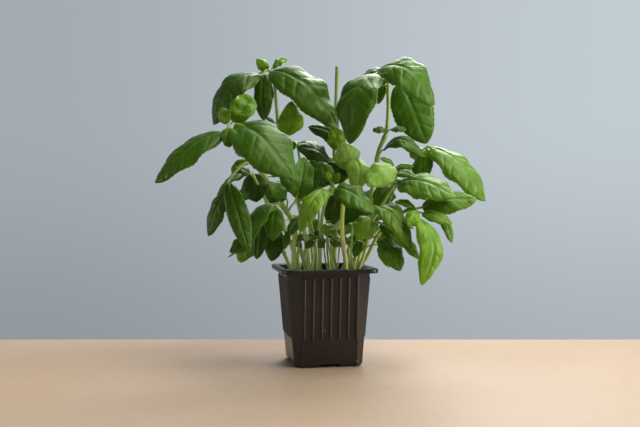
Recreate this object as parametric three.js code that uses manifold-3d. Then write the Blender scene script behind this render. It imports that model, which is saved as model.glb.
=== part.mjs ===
// A potted basil plant: a square, thin-walled nursery pot filled with soil, and the leafy stems
// that grow out of it. Millimetres, +Z up, the front towards -Y, the origin at the middle of the
// pot's underside.
//
// The stems and leaves are laid out as they show from the front. A point is [x, z, depth]: where
// it shows on the upright plane through the pot's axis, seen from VIEWPOINT, and how far behind
// that plane it really lies. A leaf that comes too near a neighbour's is moved in depth alone.
import * as THREE from "three";
import { mergeVertices } from "three/addons/utils/BufferGeometryUtils.js";
import Module from "manifold-3d";

const wasm = await Module();
wasm.setup();

const VIEWPOINT = { x: -3, y: -837, z: 152.5 };

// The pot
const POT_HEIGHT = 89;
const POT_YAW = THREE.MathUtils.degToRad(10.5);
const POT_FOOT_HALF = 31.1;
const POT_TOP_HALF = 39;
const POT_WALL = 1;
const POT_FLOOR = 1.6;
const POT_FLAT_HALF = 25.5;
const FLANGE_CORNER_STEPS = 3;
const FOOT_ROUNDING = 1.6;
const FLANGE_HALF = 43.9;
const FLANGE_CORNER = 10;
const FLANGE_PLATE = 1.2;
const LIP_DROP = 3.8;
const LIP_WALL = 1;
const RIBS_A_SIDE = 7;
const RIB_PITCH = 8;
const RIB_WIDTH = 2.8;
const RIB_RELIEF = 0.9;
const RIB_FOOT_Z = 26;
const RIB_TOP_Z = 81.5;
const FEET_ARCH_WIDTH = 20;
const FEET_ARCH_HEIGHT = 2.4;
const FEET_ARCH_LENGTH = 20;
const DRAIN_SLOT = { width: 3, height: 4.8, z: 6.6 };

// The soil
const SOIL_TOP = 77;
const SOIL_GAP = 0.4;
const SOIL_LUMP = 1.6;
const SOIL_CELLS = 8;
const HOLE_CLEARANCE = 0.75;
const HOLE_SIDES = 6;
const STEM_DEPTH = 9;
const ROOT_HEIGHTS = [SOIL_TOP - STEM_DEPTH, SOIL_TOP + STEM_DEPTH];

// Leaves and stems
const BLADE = 0.7;
const SMALL_GRID = { upTo: 24, rows: [0, 0.24, 0.78, 1], columns: [-1, 0, 1] };
const MIDDLE_GRID = { upTo: 46, rows: [0, 0.14, 0.48, 0.87, 1], columns: [-1, 0, 1] };
const LARGE_GRID = { rows: [0, 0.1, 0.34, 0.63, 0.89, 1], columns: [-1, -0.5, 0, 0.5, 1] };
const FOOT_HALF_WIDTH = 0.9;
const TIP_HALF_WIDTH = 0.5;
const SEEDLING_KNEE = 101.5;
const SEEDLING_RADII = [1.2, 0.9];
const TWIG_RADII = [0.9, 0.6];
const TWIG_FOOT_Z = SOIL_TOP + 3;
const TWIG_KNEE = { along: 0.6, z: 94.5 };
const BACK_SHOOT_RADII = [2, 1.2];
const EDGE_WAVE = 0.1;
const EDGE_TEETH = 0.05;
const STEM_SIDES = 5;
const CLEAR = 5.5;
const SHIFT_STEP = 5;
const SHIFTS = 9;

const LEAF_GREEN = new THREE.MeshStandardMaterial({ color: 0x4a7a2a, roughness: 0.45, metalness: 0 });
const STEM_GREEN = new THREE.MeshStandardMaterial({ color: 0x9fb060, roughness: 0.5, metalness: 0 });
const POT_BROWN = new THREE.MeshStandardMaterial({ color: 0x2b2320, roughness: 0.4, metalness: 0 });
const SOIL_BROWN = new THREE.MeshStandardMaterial({ color: 0x2a2019, roughness: 0.95, metalness: 0 });

const plant = new THREE.Group();

// ---------------------------------------------------------------- solids

function solidOf(geometry) {
  geometry.deleteAttribute("normal");
  geometry.deleteAttribute("uv");
  const merged = mergeVertices(geometry, 1e-4);
  return new wasm.Manifold(
    new wasm.Mesh({
      numProp: 3,
      vertProperties: new Float32Array(merged.attributes.position.array),
      triVerts: new Uint32Array(merged.index.array),
    }),
  );
}

function geometryOf(solid) {
  const mesh = solid.getMesh();
  const positions = new Float32Array(mesh.numVert * 3);
  for (let i = 0; i < mesh.numVert; i++) {
    const start = i * mesh.numProp;
    positions.set(mesh.vertProperties.subarray(start, start + 3), i * 3);
  }
  const geometry = new THREE.BufferGeometry();
  geometry.setAttribute("position", new THREE.BufferAttribute(positions, 3));
  geometry.setIndex(new THREE.BufferAttribute(new Uint32Array(mesh.triVerts), 1));
  geometry.computeVertexNormals();
  return geometry;
}

function fuse(solids) {
  return solids.reduce((whole, solid) => whole.add(solid));
}

function place(name, solid, material) {
  const mesh = new THREE.Mesh(geometryOf(solid), material);
  mesh.name = name;
  plant.add(mesh);
}

// A stack of squares, each { half, corner, z }, skinned and closed at both ends. Their corners are
// rounded in a few steps, or chamfered with one.
function squareLoft(cornerSteps, sections) {
  const rings = sections.map(({ half, corner, z }) => {
    const ring = [];
    for (let side = 0; side < 4; side++) {
      for (let step = 0; step <= cornerSteps; step++) {
        const angle = ((side + step / cornerSteps) * Math.PI) / 2;
        const turn = ((side + 0.5) * Math.PI) / 2;
        const middle = (half - corner) * Math.SQRT2;
        ring.push([
          middle * Math.cos(turn) + corner * Math.cos(angle),
          middle * Math.sin(turn) + corner * Math.sin(angle),
          z,
        ]);
      }
    }
    return ring;
  });
  const around = rings[0].length;
  const positions = rings.flat(2);
  const index = [];
  for (let k = 0; k + 1 < rings.length; k++) {
    for (let i = 0; i < around; i++) {
      const a = k * around + i;
      const b = k * around + ((i + 1) % around);
      index.push(a, b, a + around, b, b + around, a + around);
    }
  }
  const last = (rings.length - 1) * around;
  for (let i = 1; i + 1 < around; i++) {
    index.push(0, i + 1, i);
    index.push(last, last + i, last + i + 1);
  }
  const geometry = new THREE.BufferGeometry();
  geometry.setAttribute("position", new THREE.Float32BufferAttribute(positions, 3));
  geometry.setIndex(index);
  return solidOf(geometry);
}

function box(width, depth, height, matrix) {
  return solidOf(new THREE.BoxGeometry(width, depth, height).applyMatrix4(matrix));
}

// ---------------------------------------------------------------- pot and soil

function wallHalf(z) {
  return POT_FOOT_HALF + ((POT_TOP_HALF - POT_FOOT_HALF) * z) / POT_HEIGHT;
}

// The wall's outline at a height, moved inwards. The flat part of each side keeps its width, so
// the chamfered corners widen upwards.
function wallSection(z, inwards = 0) {
  const half = wallHalf(z);
  const corner = half - POT_FLAT_HALF - (2 - Math.SQRT2) * inwards;
  return { half: half - inwards, corner, z };
}

function potBody() {
  const edge = FOOT_ROUNDING * 0.3;
  const shell = squareLoft(1, [
    { ...wallSection(0, FOOT_ROUNDING), z: 0 },
    { ...wallSection(0, edge), z: edge },
    wallSection(FOOT_ROUNDING),
    wallSection(POT_HEIGHT),
  ]);
  const rim = { half: FLANGE_HALF, corner: FLANGE_CORNER };
  const bevelled = { half: FLANGE_HALF - 0.6, corner: FLANGE_CORNER - 0.6 };
  const under = { half: FLANGE_HALF - LIP_WALL, corner: FLANGE_CORNER - LIP_WALL };
  const flange = squareLoft(FLANGE_CORNER_STEPS, [
    { ...rim, z: POT_HEIGHT - LIP_DROP },
    { ...rim, z: POT_HEIGHT - 0.6 },
    { ...bevelled, z: POT_HEIGHT },
  ]);
  const underFlange = squareLoft(FLANGE_CORNER_STEPS, [
    { ...under, z: POT_HEIGHT - LIP_DROP - 1 },
    { ...under, z: POT_HEIGHT - FLANGE_PLATE },
  ]);
  return fuse([flange.subtract(underFlange), shell, ...ribs()]);
}

function potCavity(wall, floor, top) {
  return squareLoft(1, [wallSection(floor, wall), wallSection(top, wall)]);
}

// A rib is a bar with a narrowed outer face that follows the wall's slope.
function ribs() {
  const made = [];
  const length = RIB_TOP_Z - RIB_FOOT_Z;
  const slope = Math.atan((POT_TOP_HALF - POT_FOOT_HALF) / POT_HEIGHT);
  for (let side = 0; side < 4; side++) {
    for (let i = 0; i < RIBS_A_SIDE; i++) {
      const offset = (i - (RIBS_A_SIDE - 1) / 2) * RIB_PITCH;
      const bar = new THREE.BoxGeometry(RIB_WIDTH, RIB_RELIEF * 2, length);
      const position = bar.attributes.position;
      for (let v = 0; v < position.count; v++) {
        if (position.getY(v) < 0) {
          position.setX(v, position.getX(v) * 0.35);
          position.setZ(v, position.getZ(v) - Math.sign(position.getZ(v)) * RIB_RELIEF);
        }
      }
      const middle = (RIB_TOP_Z + RIB_FOOT_Z) / 2;
      bar.rotateX(slope);
      bar.translate(offset, -wallHalf(middle), middle);
      bar.rotateZ((side * Math.PI) / 2);
      made.push(solidOf(bar));
    }
  }
  return made;
}

// Four channels under the floor run in from the middles of the sides, and leave the four
// corners and the middle of the underside standing on the table.
function undersideChannels() {
  const cuts = [];
  for (let side = 0; side < 4; side++) {
    const channel = new THREE.BoxGeometry(
      FEET_ARCH_WIDTH,
      FEET_ARCH_LENGTH,
      FEET_ARCH_HEIGHT * 2,
    );
    const position = channel.attributes.position;
    for (let v = 0; v < position.count; v++) {
      if (position.getZ(v) > 0) position.setX(v, position.getX(v) * 0.85);
    }
    channel.translate(0, -wallHalf(0) + FEET_ARCH_LENGTH / 2 - 4, 0);
    channel.rotateZ((side * Math.PI) / 2);
    cuts.push(solidOf(channel));
  }
  return cuts;
}

// A slot above the floor in the middle of the left side and of the right side.
function drainSlots() {
  return [-1, 1].map((side) => {
    const { width, height, z } = DRAIN_SLOT;
    return box(6, width, height, new THREE.Matrix4().makeTranslation(side * wallHalf(z), 0, z));
  });
}

function yawed(solid) {
  return solid.rotate([0, 0, THREE.MathUtils.radToDeg(POT_YAW)]);
}

const channelTop = FEET_ARCH_HEIGHT + POT_FLOOR;

function makePot() {
  const cavity = potCavity(POT_WALL, channelTop, POT_HEIGHT + 1);
  let pot = potBody().subtract(cavity);
  for (const cut of undersideChannels()) pot = pot.subtract(cut);
  for (const slot of drainSlots()) pot = pot.subtract(slot);
  place("pot", yawed(pot), POT_BROWN);
}

function makeSoil(stems) {
  const top = new THREE.BoxGeometry(
    POT_TOP_HALF * 2.4,
    POT_TOP_HALF * 2.4,
    SOIL_TOP,
    SOIL_CELLS,
    SOIL_CELLS,
    1,
  );
  top.translate(0, 0, SOIL_TOP / 2);
  const position = top.attributes.position;
  for (let v = 0; v < position.count; v++) {
    if (position.getZ(v) < 1) continue;
    const x = position.getX(v);
    const y = position.getY(v);
    const lump = Math.sin(x * 0.31 + 1) * Math.cos(y * 0.27) + 0.6 * Math.sin(x * 0.13 - y * 0.41);
    position.setZ(v, SOIL_TOP + SOIL_LUMP * lump * 0.6);
  }
  const filling = potCavity(POT_WALL + SOIL_GAP, channelTop + SOIL_GAP, POT_HEIGHT);
  let soil = yawed(filling).intersect(solidOf(top));
  for (const { foot, radius } of stems) {
    const hole = new THREE.CylinderGeometry(
      radius + HOLE_CLEARANCE,
      radius + HOLE_CLEARANCE,
      STEM_DEPTH * 4,
      HOLE_SIDES,
    );
    hole.rotateX(Math.PI / 2);
    hole.translate(foot.x, foot.y, foot.z + STEM_DEPTH * 2 - 1);
    soil = soil.subtract(solidOf(hole));
  }
  place("soil", soil, SOIL_BROWN);
}

// ---------------------------------------------------------------- leaves and stems

function seen([x, z, depth]) {
  const reach = (depth - VIEWPOINT.y) / -VIEWPOINT.y;
  return new THREE.Vector3(
    VIEWPOINT.x + (x - VIEWPOINT.x) * reach,
    depth,
    VIEWPOINT.z + (z - VIEWPOINT.z) * reach,
  );
}

function outline(s) {
  return Math.sin(Math.PI * s ** 0.9) ** (0.42 + 0.24 * s);
}

// The blade's middle surface: s runs from its foot to its tip, q from one edge to the other.
// bow lifts the midrib into an arch, cup bends the halves up (or down where it is negative),
// sway bends the blade sideways, twist turns it along its length.
function bladeFrame(leaf) {
  const foot = seen(leaf.foot);
  const tip = seen(leaf.tip);
  const along = tip.clone().sub(foot);
  const length = along.length();
  along.normalize();
  const up = new THREE.Vector3(...leaf.facing);
  up.addScaledVector(along, -up.dot(along)).normalize();
  const side = new THREE.Vector3().crossVectors(along, up);
  return { foot, along, up, side, length };
}

function bladePoint(leaf, frame, s, q) {
  const { foot, along, up, side, length } = frame;
  const arch = Math.sin(Math.PI * s ** 0.85);
  const archSlope = Math.cos(Math.PI * s ** 0.85) * Math.PI * (leaf.bow ?? 0);
  const rib = foot
    .clone()
    .addScaledVector(along, length * s)
    .addScaledVector(up, (leaf.bow ?? 0) * length * arch)
    .addScaledVector(side, (leaf.sway ?? 0) * length * Math.sin(Math.PI * s));
  const normal = up.clone().addScaledVector(along, -archSlope).normalize();
  const turn = (leaf.twist ?? 0) * (s - 0.3);
  const across = side
    .clone()
    .multiplyScalar(Math.cos(turn))
    .addScaledVector(normal, Math.sin(turn));
  const upwards = normal
    .clone()
    .multiplyScalar(Math.cos(turn))
    .addScaledVector(side, -Math.sin(turn));
  const ends = FOOT_HALF_WIDTH + (TIP_HALF_WIDTH - FOOT_HALF_WIDTH) * s;
  const half = Math.max(ends, (leaf.width / 2) * outline(s));
  const cup = leaf.cup ?? -0.5;
  const bend = cup * Math.abs(q);
  const out = Math.abs(cup) < 0.01 ? half * q : (half * Math.sin(cup * q)) / cup;
  const rise = Math.abs(cup) < 0.01 ? 0 : (half * (1 - Math.cos(bend))) / cup;
  const phase = leaf.phase + (q > 0 ? 1.3 : 0);
  const wave = EDGE_WAVE * half * q * q * Math.sin(Math.PI * 5 * s + phase);
  return rib.addScaledVector(across, out).addScaledVector(upwards, rise + wave);
}

function bladeNormal(leaf, frame, s, q) {
  const step = 0.01;
  const ahead = bladePoint(leaf, frame, Math.min(1, s + step), q);
  const behind = bladePoint(leaf, frame, Math.max(0, s - step), q);
  const right = bladePoint(leaf, frame, s, q + step);
  const left = bladePoint(leaf, frame, s, q - step);
  return right.sub(left).cross(ahead.sub(behind)).normalize();
}

function stalkHalf(leaf) {
  return Math.min(1.1, 0.5 + leaf.width * 0.018);
}

function stalkAcross(frame, start) {
  const along = frame.foot.clone().sub(start).normalize();
  const across = frame.side.clone().addScaledVector(along, -frame.side.dot(along));
  if (across.length() < 0.3) across.crossVectors(along, frame.up);
  return across.normalize();
}

function bladeGrid(leaf, { length }) {
  if (length < SMALL_GRID.upTo) return SMALL_GRID;
  return length < MIDDLE_GRID.upTo || leaf.optional ? MIDDLE_GRID : LARGE_GRID;
}

// A leaf is one closed skin: a stalk that starts inside the stem and runs on into the blade.
function leafSolid(leaf, start) {
  const frame = bladeFrame(leaf);
  const { rows, columns } = bladeGrid(leaf, frame);
  const across = columns.length;
  const upper = [];
  const lower = [];
  const stalk = stalkHalf(leaf);
  const stalkSide = stalkAcross(frame, start);
  const stalkAlong = frame.foot.clone().sub(start).normalize();
  const stalkUp = stalkSide.clone().cross(stalkAlong);
  for (const column of columns) {
    const point = start.clone().addScaledVector(stalkSide, column * stalk);
    upper.push(point.clone().addScaledVector(stalkUp, stalk * 0.8));
    lower.push(point.clone().addScaledVector(stalkUp, -stalk * 0.8));
  }
  rows.forEach((s, row) => {
    const inside = row > 0 && row < rows.length - 1;
    const tooth = inside ? 1 + EDGE_TEETH * (row % 2 ? 1 : -1) : 1;
    const thick = row === 0 ? stalk * 1.2 : BLADE;
    for (const column of columns) {
      const q = column * (Math.abs(column) === 1 ? tooth : 1);
      const point = bladePoint(leaf, frame, s, q);
      const normal = bladeNormal(leaf, frame, s, q);
      upper.push(point.clone().addScaledVector(normal, thick / 2));
      lower.push(point.clone().addScaledVector(normal, -thick / 2));
    }
  });
  return skin(upper, lower, across);
}

// Two like grids of points, row by row, closed along their edges into one body.
function skin(upper, lower, across) {
  const count = upper.length;
  const last = count / across - 1;
  const at = (row, column) => row * across + column;
  const index = [];
  for (let row = 0; row < last; row++) {
    for (let column = 0; column + 1 < across; column++) {
      const a = at(row, column);
      const b = at(row, column + 1);
      const c = at(row + 1, column + 1);
      const d = at(row + 1, column);
      index.push(a, b, c, a, c, d);
      index.push(count + a, count + c, count + b, count + a, count + d, count + c);
    }
  }
  const rim = [];
  for (let column = 0; column < across; column++) rim.push(at(0, column));
  for (let row = 1; row <= last; row++) rim.push(at(row, across - 1));
  for (let column = across - 2; column >= 0; column--) rim.push(at(last, column));
  for (let row = last - 1; row > 0; row--) rim.push(at(row, 0));
  rim.forEach((a, i) => {
    const b = rim[(i + 1) % rim.length];
    index.push(a, count + a, b, b, count + a, count + b);
  });
  const positions = [...upper, ...lower].flatMap((point) => point.toArray());
  const geometry = new THREE.BufferGeometry();
  geometry.setAttribute("position", new THREE.Float32BufferAttribute(positions, 3));
  geometry.setIndex(index);
  return solidOf(geometry);
}

// A closed cylinder bent along a curve, with a ring at each of the curve's own points, tapering
// from one radius to the other.
function stemSolid(curve, radii) {
  const steps = curve.points.length - 1;
  const rod = new THREE.CylinderGeometry(1, 1, 1, STEM_SIDES, steps);
  const sides = [];
  let reference = new THREE.Vector3(1, 0, 0);
  for (let ring = 0; ring <= steps; ring++) {
    const along = curve.getTangent(ring / steps);
    reference = reference.clone().addScaledVector(along, -reference.dot(along)).normalize();
    sides.push({ across: reference, over: along.clone().cross(reference) });
  }
  const position = rod.attributes.position;
  for (let v = 0; v < position.count; v++) {
    const ring = Math.round((position.getY(v) + 0.5) * steps);
    const radius = THREE.MathUtils.lerp(radii[0], radii[1], ring / steps);
    const { across, over } = sides[ring];
    const point = curve.points[ring]
      .clone()
      .addScaledVector(across, position.getX(v) * radius)
      .addScaledVector(over, -position.getZ(v) * radius);
    position.setXYZ(v, point.x, point.y, point.z);
  }
  return solidOf(rod);
}

// The leafy stems, front ones first. Each has one or more axes, { path, radii }, and leaves that
// stand on an axis at a fraction of its length: { on, at, foot, tip, width, facing, ... }.
const SHOOTS = [
  {
    name: "shoot_left_front",
    axes: [
      {
        foot: [-28, -26],
        path: [
          [-27.5, 101.5, -26], [-27, 118.5, -27], [-30, 133.5, -29], [-39, 146, -33],
        ],
        radii: [2.3, 1.7],
      },
    ],
    leaves: [
      { at: 1, foot: [-45, 147.5, -36], tip: [-71, 109.5, -52], width: 25,
        facing: [-0.5, -0.6, 0.6], bow: 0.22 },
      { at: 0.97, foot: [-44, 143.5, -42], tip: [-47, 112.5, -46], width: 19,
        facing: [-0.2, -1, 0.2], bow: 0.1 },
      { at: 0.88, foot: [-25, 152.5, -38], tip: [-18, 190.5, -34], width: 21,
        facing: [0.3, -0.9, -0.1], bow: 0.15, cup: 0.6 },
      { at: 0.9, foot: [-34, 151.5, -24], tip: [-52, 167.5, -20], width: 18,
        facing: [-0.2, -0.7, 0.7], bow: 0.1 },
      { at: 0.62, foot: [-32, 122.5, -36], tip: [-36, 104.5, -40], width: 7,
        facing: [-0.2, -1, 0.3], bow: 0.1 },
    ],
  },
  {
    name: "shoot_left_low",
    axes: [
      {
        foot: [-22, -2],
        path: [
          [-28, 106.5, -4], [-42, 133.5, -10], [-54, 151.5, -16], [-64, 171.5, -22],
        ],
        radii: [1.9, 1.2],
      },
    ],
    leaves: [
      { at: 0.72, foot: [-57, 130.5, -14], tip: [-62, 95.5, -20], width: 20,
        facing: [-0.4, -0.9, 0.2], bow: 0.1 },
      { at: 0.5, foot: [-43, 123.5, -8], tip: [-48, 93.5, -14], width: 20,
        facing: [-0.1, -1, 0.2], bow: 0.1 },
      { at: 1, foot: [-65, 175.5, -14], tip: [-62, 148.5, -18], width: 27,
        facing: [-0.2, -0.9, 0.2], bow: 0.15 },
      { at: 1, foot: [-68, 174.5, -18], tip: [-82, 181.5, -14], width: 12,
        facing: [0, -0.6, 0.8], bow: 0.1 },
      { at: 0.66, foot: [-69, 118.5, -24], tip: [-87, 101.5, -28], width: 14,
        facing: [-0.4, -0.8, 0.5], bow: 0.1 },
    ],
  },
  {
    name: "shoot_left_long",
    axes: [
      {
        foot: [-16, -14],
        path: [
          [-20, 101.5, -15], [-32, 136.5, -20], [-50, 166.5, -30], [-68, 191.5, -40],
          [-82, 209.5, -46], [-88, 217.5, -48],
        ],
        radii: [2.4, 1.5],
      },
      {
        path: [
          [-58, 178.5, -35], [-68, 185.5, -42], [-75, 183.5, -44], [-82, 176.5, -46],
          [-87.5, 169.5, -47], [-90.5, 159.5, -48],
        ],
        radii: [1.4, 1.1],
      },
    ],
    leaves: [
      { at: 1, foot: [-93, 213.5, -50], tip: [-156.5, 166.5, -62], width: 34,
        facing: [-0.3, -0.65, 0.7], bow: 0.12 },
      { at: 0.95, foot: [-80, 221.5, -54], tip: [-28, 171.5, -76], width: 53,
        facing: [0.1, -0.72, 0.68], bow: 0.16 },
      { at: 1, foot: [-84, 223.5, -44], tip: [-66, 246.5, -36], width: 22,
        facing: [0.3, -0.8, 0.3], bow: 0.2, cup: 0.7 },
      { at: 1, foot: [-89, 221.5, -48], tip: [-95, 236.5, -44], width: 13,
        facing: [-0.4, -0.7, 0.3], bow: 0.1 },
      { at: 1, foot: [-88, 217.5, -54], tip: [-87, 199.5, -62], width: 16,
        facing: [-0.2, -0.8, 0.5], bow: 0.15 },
      { at: 1, foot: [-85, 216.5, -58], tip: [-72, 199.5, -70], width: 13,
        facing: [0.2, -0.8, 0.5], bow: 0.2 },
      { on: 1, at: 1, foot: [-90.5, 158, -49], tip: [-107, 117, -44], width: 20,
        facing: [-0.55, -0.8, 0.15], bow: 0.1 },
      { on: 1, at: 0.8, foot: [-88, 166.5, -50], tip: [-69, 102.5, -62], width: 20,
        facing: [0.1, -1, 0.2], bow: 0.08 },
    ],
  },
  {
    name: "shoot_top_left",
    axes: [
      {
        foot: [-14, 8],
        path: [
          [-16, 111.5, 8], [-24, 151.5, 6], [-34, 191.5, 2], [-41, 217.5, 0], [-44, 243.5, -2],
          [-45, 256.5, -4], [-49.5, 271.5, -6],
        ],
        radii: [2.4, 1.5],
      },
    ],
    leaves: [
      { at: 1, foot: [-59, 268, -10], tip: [-102, 220.5, -26], width: 37,
        facing: [-0.45, -0.75, 0.5], bow: 0.25 },
      { at: 1, foot: [-55.5, 267.5, -16], tip: [-55, 224.5, -28], width: 21,
        facing: [-0.35, -0.92, 0.1], bow: 0.08 },
      { at: 1, foot: [-49, 270, -10], tip: [14, 216.5, -24], width: 43,
        facing: [0.3, -0.82, 0.5], bow: 0.22 },
      { at: 0.71, foot: [-36.5, 209.5, -6], tip: [-29, 242.5, -18], width: 27,
        facing: [0.25, -0.93, 0.25], bow: 0.2, cup: -0.8, sway: 0.1 },
      { at: 0.76, foot: [-45, 222.5, -2], tip: [-56, 228.5, -6], width: 8,
        facing: [-0.2, -0.5, 0.8], bow: 0.1 },
      { at: 1, foot: [-51, 270.5, -8], tip: [-62, 281.5, -12], width: 14,
        facing: [-0.3, -0.8, 0.3], cup: -1.2, bow: 0.2 },
      { at: 1, foot: [-47, 273, -8], tip: [-33, 281.5, -10], width: 14,
        facing: [0.1, -0.5, 0.8], bow: 0.2 },
      { at: 0.7, foot: [-45, 206.5, 8], tip: [-68, 191.5, 36], width: 28,
        facing: [-0.3, 0.2, 0.9], bow: 0.15 },
      { at: 0.44, foot: [-35, 166.5, 0], tip: [-54, 147.5, -10], width: 23,
        facing: [-0.2, -0.8, 0.5], bow: 0.15 },
      { at: 0.44, foot: [-18, 166.5, 8], tip: [2, 145.5, 12], width: 27,
        facing: [0.2, -0.8, 0.5], bow: 0.15 },
      { at: 0.99, foot: [-44, 265.5, 4], tip: [-15, 242.5, 44], width: 30,
        facing: [0, 0.6, 0.8], bow: 0.2 },
    ],
  },
  {
    name: "shoot_top_right",
    axes: [
      {
        foot: [32, 4],
        path: [
          [36, 111.5, 4], [44, 151.5, 2], [50, 187.5, 0], [52, 197.5, 0], [58, 211.5, -2],
          [60, 225, -2], [60, 257.5, -2], [58.5, 269.5, -3],
        ],
        radii: [2.5, 1.7],
      },
    ],
    leaves: [
      { at: 1, foot: [49, 267.5, -12], tip: [25, 202.5, -32], width: 43,
        facing: [-0.52, -0.78, 0.4], bow: 0.26 },
      { at: 1, foot: [51, 271.5, -10], tip: [103, 238.5, -24], width: 42,
        facing: [0.2, -0.84, 0.55], bow: 0.35 },
      { at: 0.97, foot: [72, 259.5, 14], tip: [96, 203, 2], width: 41,
        facing: [0.05, -1, 0.1], bow: 0.08, cup: -0.4 },
      { at: 1, foot: [54, 271, 2], tip: [36, 265.5, 6], width: 18,
        facing: [-0.2, -0.5, 0.8], bow: 0.15 },
      { at: 0.94, foot: [57.5, 257.5, -6], tip: [51, 239.5, -10], width: 8,
        facing: [-0.2, -0.9, 0.2], bow: 0.1 },
      { at: 0.7, foot: [57, 217, -6], tip: [46, 214.5, -10], width: 11,
        facing: [0, -0.6, 0.8], bow: 0.1 },
      { at: 0.7, foot: [63, 216.5, -6], tip: [77, 215.5, -12], width: 12,
        facing: [0, -0.6, 0.8], bow: 0.15 },
      { at: 0.6, foot: [56, 197.5, -6], tip: [95, 190.5, -22], width: 20,
        facing: [0, -0.65, 0.75], bow: 0.38 },
      { at: 0.34, foot: [53, 149.5, -2], tip: [76, 125.5, -12], width: 25,
        facing: [0.3, -0.7, 0.6], bow: 0.15 },
      { at: 0.34, foot: [36, 149.5, 8], tip: [16, 127.5, 10], width: 25,
        facing: [-0.2, -0.8, 0.5], bow: 0.15 },
      { at: 0.98, foot: [55, 263.5, 6], tip: [31, 236.5, 44], width: 32,
        facing: [-0.1, 0.6, 0.8], bow: 0.2 },
    ],
  },
  {
    name: "shoot_right_far",
    axes: [
      {
        foot: [29, 14],
        path: [
          [37, 111.5, 14], [56, 146.5, 10], [76, 173.5, 4], [90, 190.5, 0], [97, 200.5, -2],
        ],
        radii: [2.1, 1.4],
      },
    ],
    leaves: [
      { at: 1, foot: [100, 199.5, -4], tip: [151, 149.5, -24], width: 41,
        facing: [0.3, -0.62, 0.72], bow: 0.14 },
      { at: 0.97, foot: [93, 195.5, -6], tip: [92, 167.5, -12], width: 21,
        facing: [-0.5, -0.85, 0.1], twist: 0.8, bow: 0.1 },
      { at: 0.96, foot: [94, 197.5, 6], tip: [92, 183.5, 46], width: 30,
        facing: [0.2, 0.4, 0.9], bow: 0.15 },
    ],
  },
  {
    name: "shoot_right_mid",
    axes: [
      {
        foot: [26, -14],
        path: [
          [32, 101.5, -15], [46, 131.5, -18], [59, 153.5, -24], [65, 163.5, -28],
        ],
        radii: [2.1, 1.4],
      },
    ],
    leaves: [
      { at: 1, foot: [70, 166.5, -32], tip: [123, 153.5, -58], width: 38,
        facing: [-0.05, -0.6, 0.8], bow: 0.15 },
      { at: 0.98, foot: [66, 165.5, -22], tip: [88, 169.5, 2], width: 22,
        facing: [0.1, 0, 1], bow: 0.15 },
    ],
  },
  {
    name: "shoot_right_out",
    axes: [
      {
        foot: [33, -8],
        path: [
          [40, 96.5, -10], [52, 119.5, -20], [68, 135.5, -32], [81, 142.5, -42],
        ],
        radii: [1.9, 1.3],
      },
    ],
    leaves: [
      { at: 1, foot: [92, 143.5, -48], tip: [143, 151.5, -62], width: 26,
        facing: [0.05, -0.8, 0.6], bow: 0.12 },
      { at: 1, foot: [92, 138.5, -50], tip: [120, 128.5, -60], width: 15,
        facing: [0, -0.7, 0.7], bow: 0.12 },
      { at: 1, foot: [87, 140.5, -56], tip: [79, 125.5, -66], width: 16,
        facing: [0, -0.95, 0.2], bow: 0.15, cup: -0.9 },
      { at: 0.95, foot: [108, 141.5, -34], tip: [120, 110.5, -40], width: 12,
        facing: [0.4, -0.8, 0.4], bow: 0.1 },
      { at: 0.98, foot: [88, 134.5, -56], tip: [92, 71, -70], width: 28,
        facing: [0.5, -0.8, 0.3], bow: 0.2, sway: -0.1 },
      { at: 0.9, foot: [68, 149.5, -44], tip: [86, 142.5, -54], width: 9,
        facing: [0, -0.7, 0.7], bow: 0.15 },
    ],
  },
  {
    name: "shoot_right_low",
    axes: [
      {
        foot: [33, -26],
        path: [
          [37, 96.5, -27], [41, 113.5, -30], [45, 133.5, -36], [46, 143.5, -40],
        ],
        radii: [1.9, 1.3],
      },
    ],
    leaves: [
      { at: 1, foot: [49, 144.5, -44], tip: [82, 105.5, -68], width: 24,
        facing: [0.35, -0.7, 0.6], bow: 0.2 },
      { at: 0.82, foot: [68, 119.5, -48], tip: [89, 95.5, -56], width: 14,
        facing: [0.3, -0.7, 0.6], bow: 0.12 },
      { at: 0.6, foot: [55, 114.5, -46], tip: [72, 84.5, -58], width: 23,
        facing: [0.2, -0.8, 0.5], bow: 0.15 },
      { at: 0.5, foot: [52, 107.5, -40], tip: [62, 87.5, -48], width: 12,
        facing: [0.2, -0.8, 0.5], bow: 0.15 },
      { at: 0.8, foot: [42, 135.5, -42], tip: [33, 113.5, -52], width: 21,
        facing: [-0.1, -0.9, 0.3], bow: 0.15 },
      { at: 0.5, foot: [35, 112.5, -34], tip: [29, 97.5, -40], width: 10,
        facing: [0, -0.9, 0.3], bow: 0.1 },
      { at: 0.75, foot: [54, 129.5, -38], tip: [67, 113.5, -42], width: 13,
        facing: [0.1, -0.8, 0.5], bow: 0.1 },
    ],
  },
  {
    name: "shoot_centre",
    axes: [
      {
        foot: [8, 6],
        path: [
          [10, 111.5, 6], [13, 146.5, 4], [17, 171.5, 2], [21, 185.5, 0], [23, 193.5, -2],
        ],
        radii: [2.1, 1.3],
      },
    ],
    leaves: [
      { at: 0.95, foot: [27, 178.5, -10], tip: [17, 204.5, -22], width: 30,
        facing: [-0.2, -0.8, 0.5], bow: 0.2, cup: -0.9 },
      { at: 1, foot: [27, 190.5, -14], tip: [31, 157.5, -30], width: 25,
        facing: [0.1, -0.9, 0.4], bow: 0.25, cup: -0.8, sway: -0.1 },
      { at: 1, foot: [17, 198.5, 0], tip: [-14, 218.5, -10], width: 22,
        facing: [-0.2, -0.7, 0.7], bow: 0.3 },
      { at: 1, foot: [16, 197.5, -8], tip: [8, 218.5, -14], width: 20,
        facing: [0, -0.9, 0.3], bow: 0.15 },
      { at: 0.93, foot: [6, 185.5, 2], tip: [-25, 200.5, -4], width: 26,
        facing: [0, -0.7, 0.7], bow: 0.2 },
      { at: 0.7, foot: [6, 164.5, -8], tip: [-13, 186.5, -14], width: 24,
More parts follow.
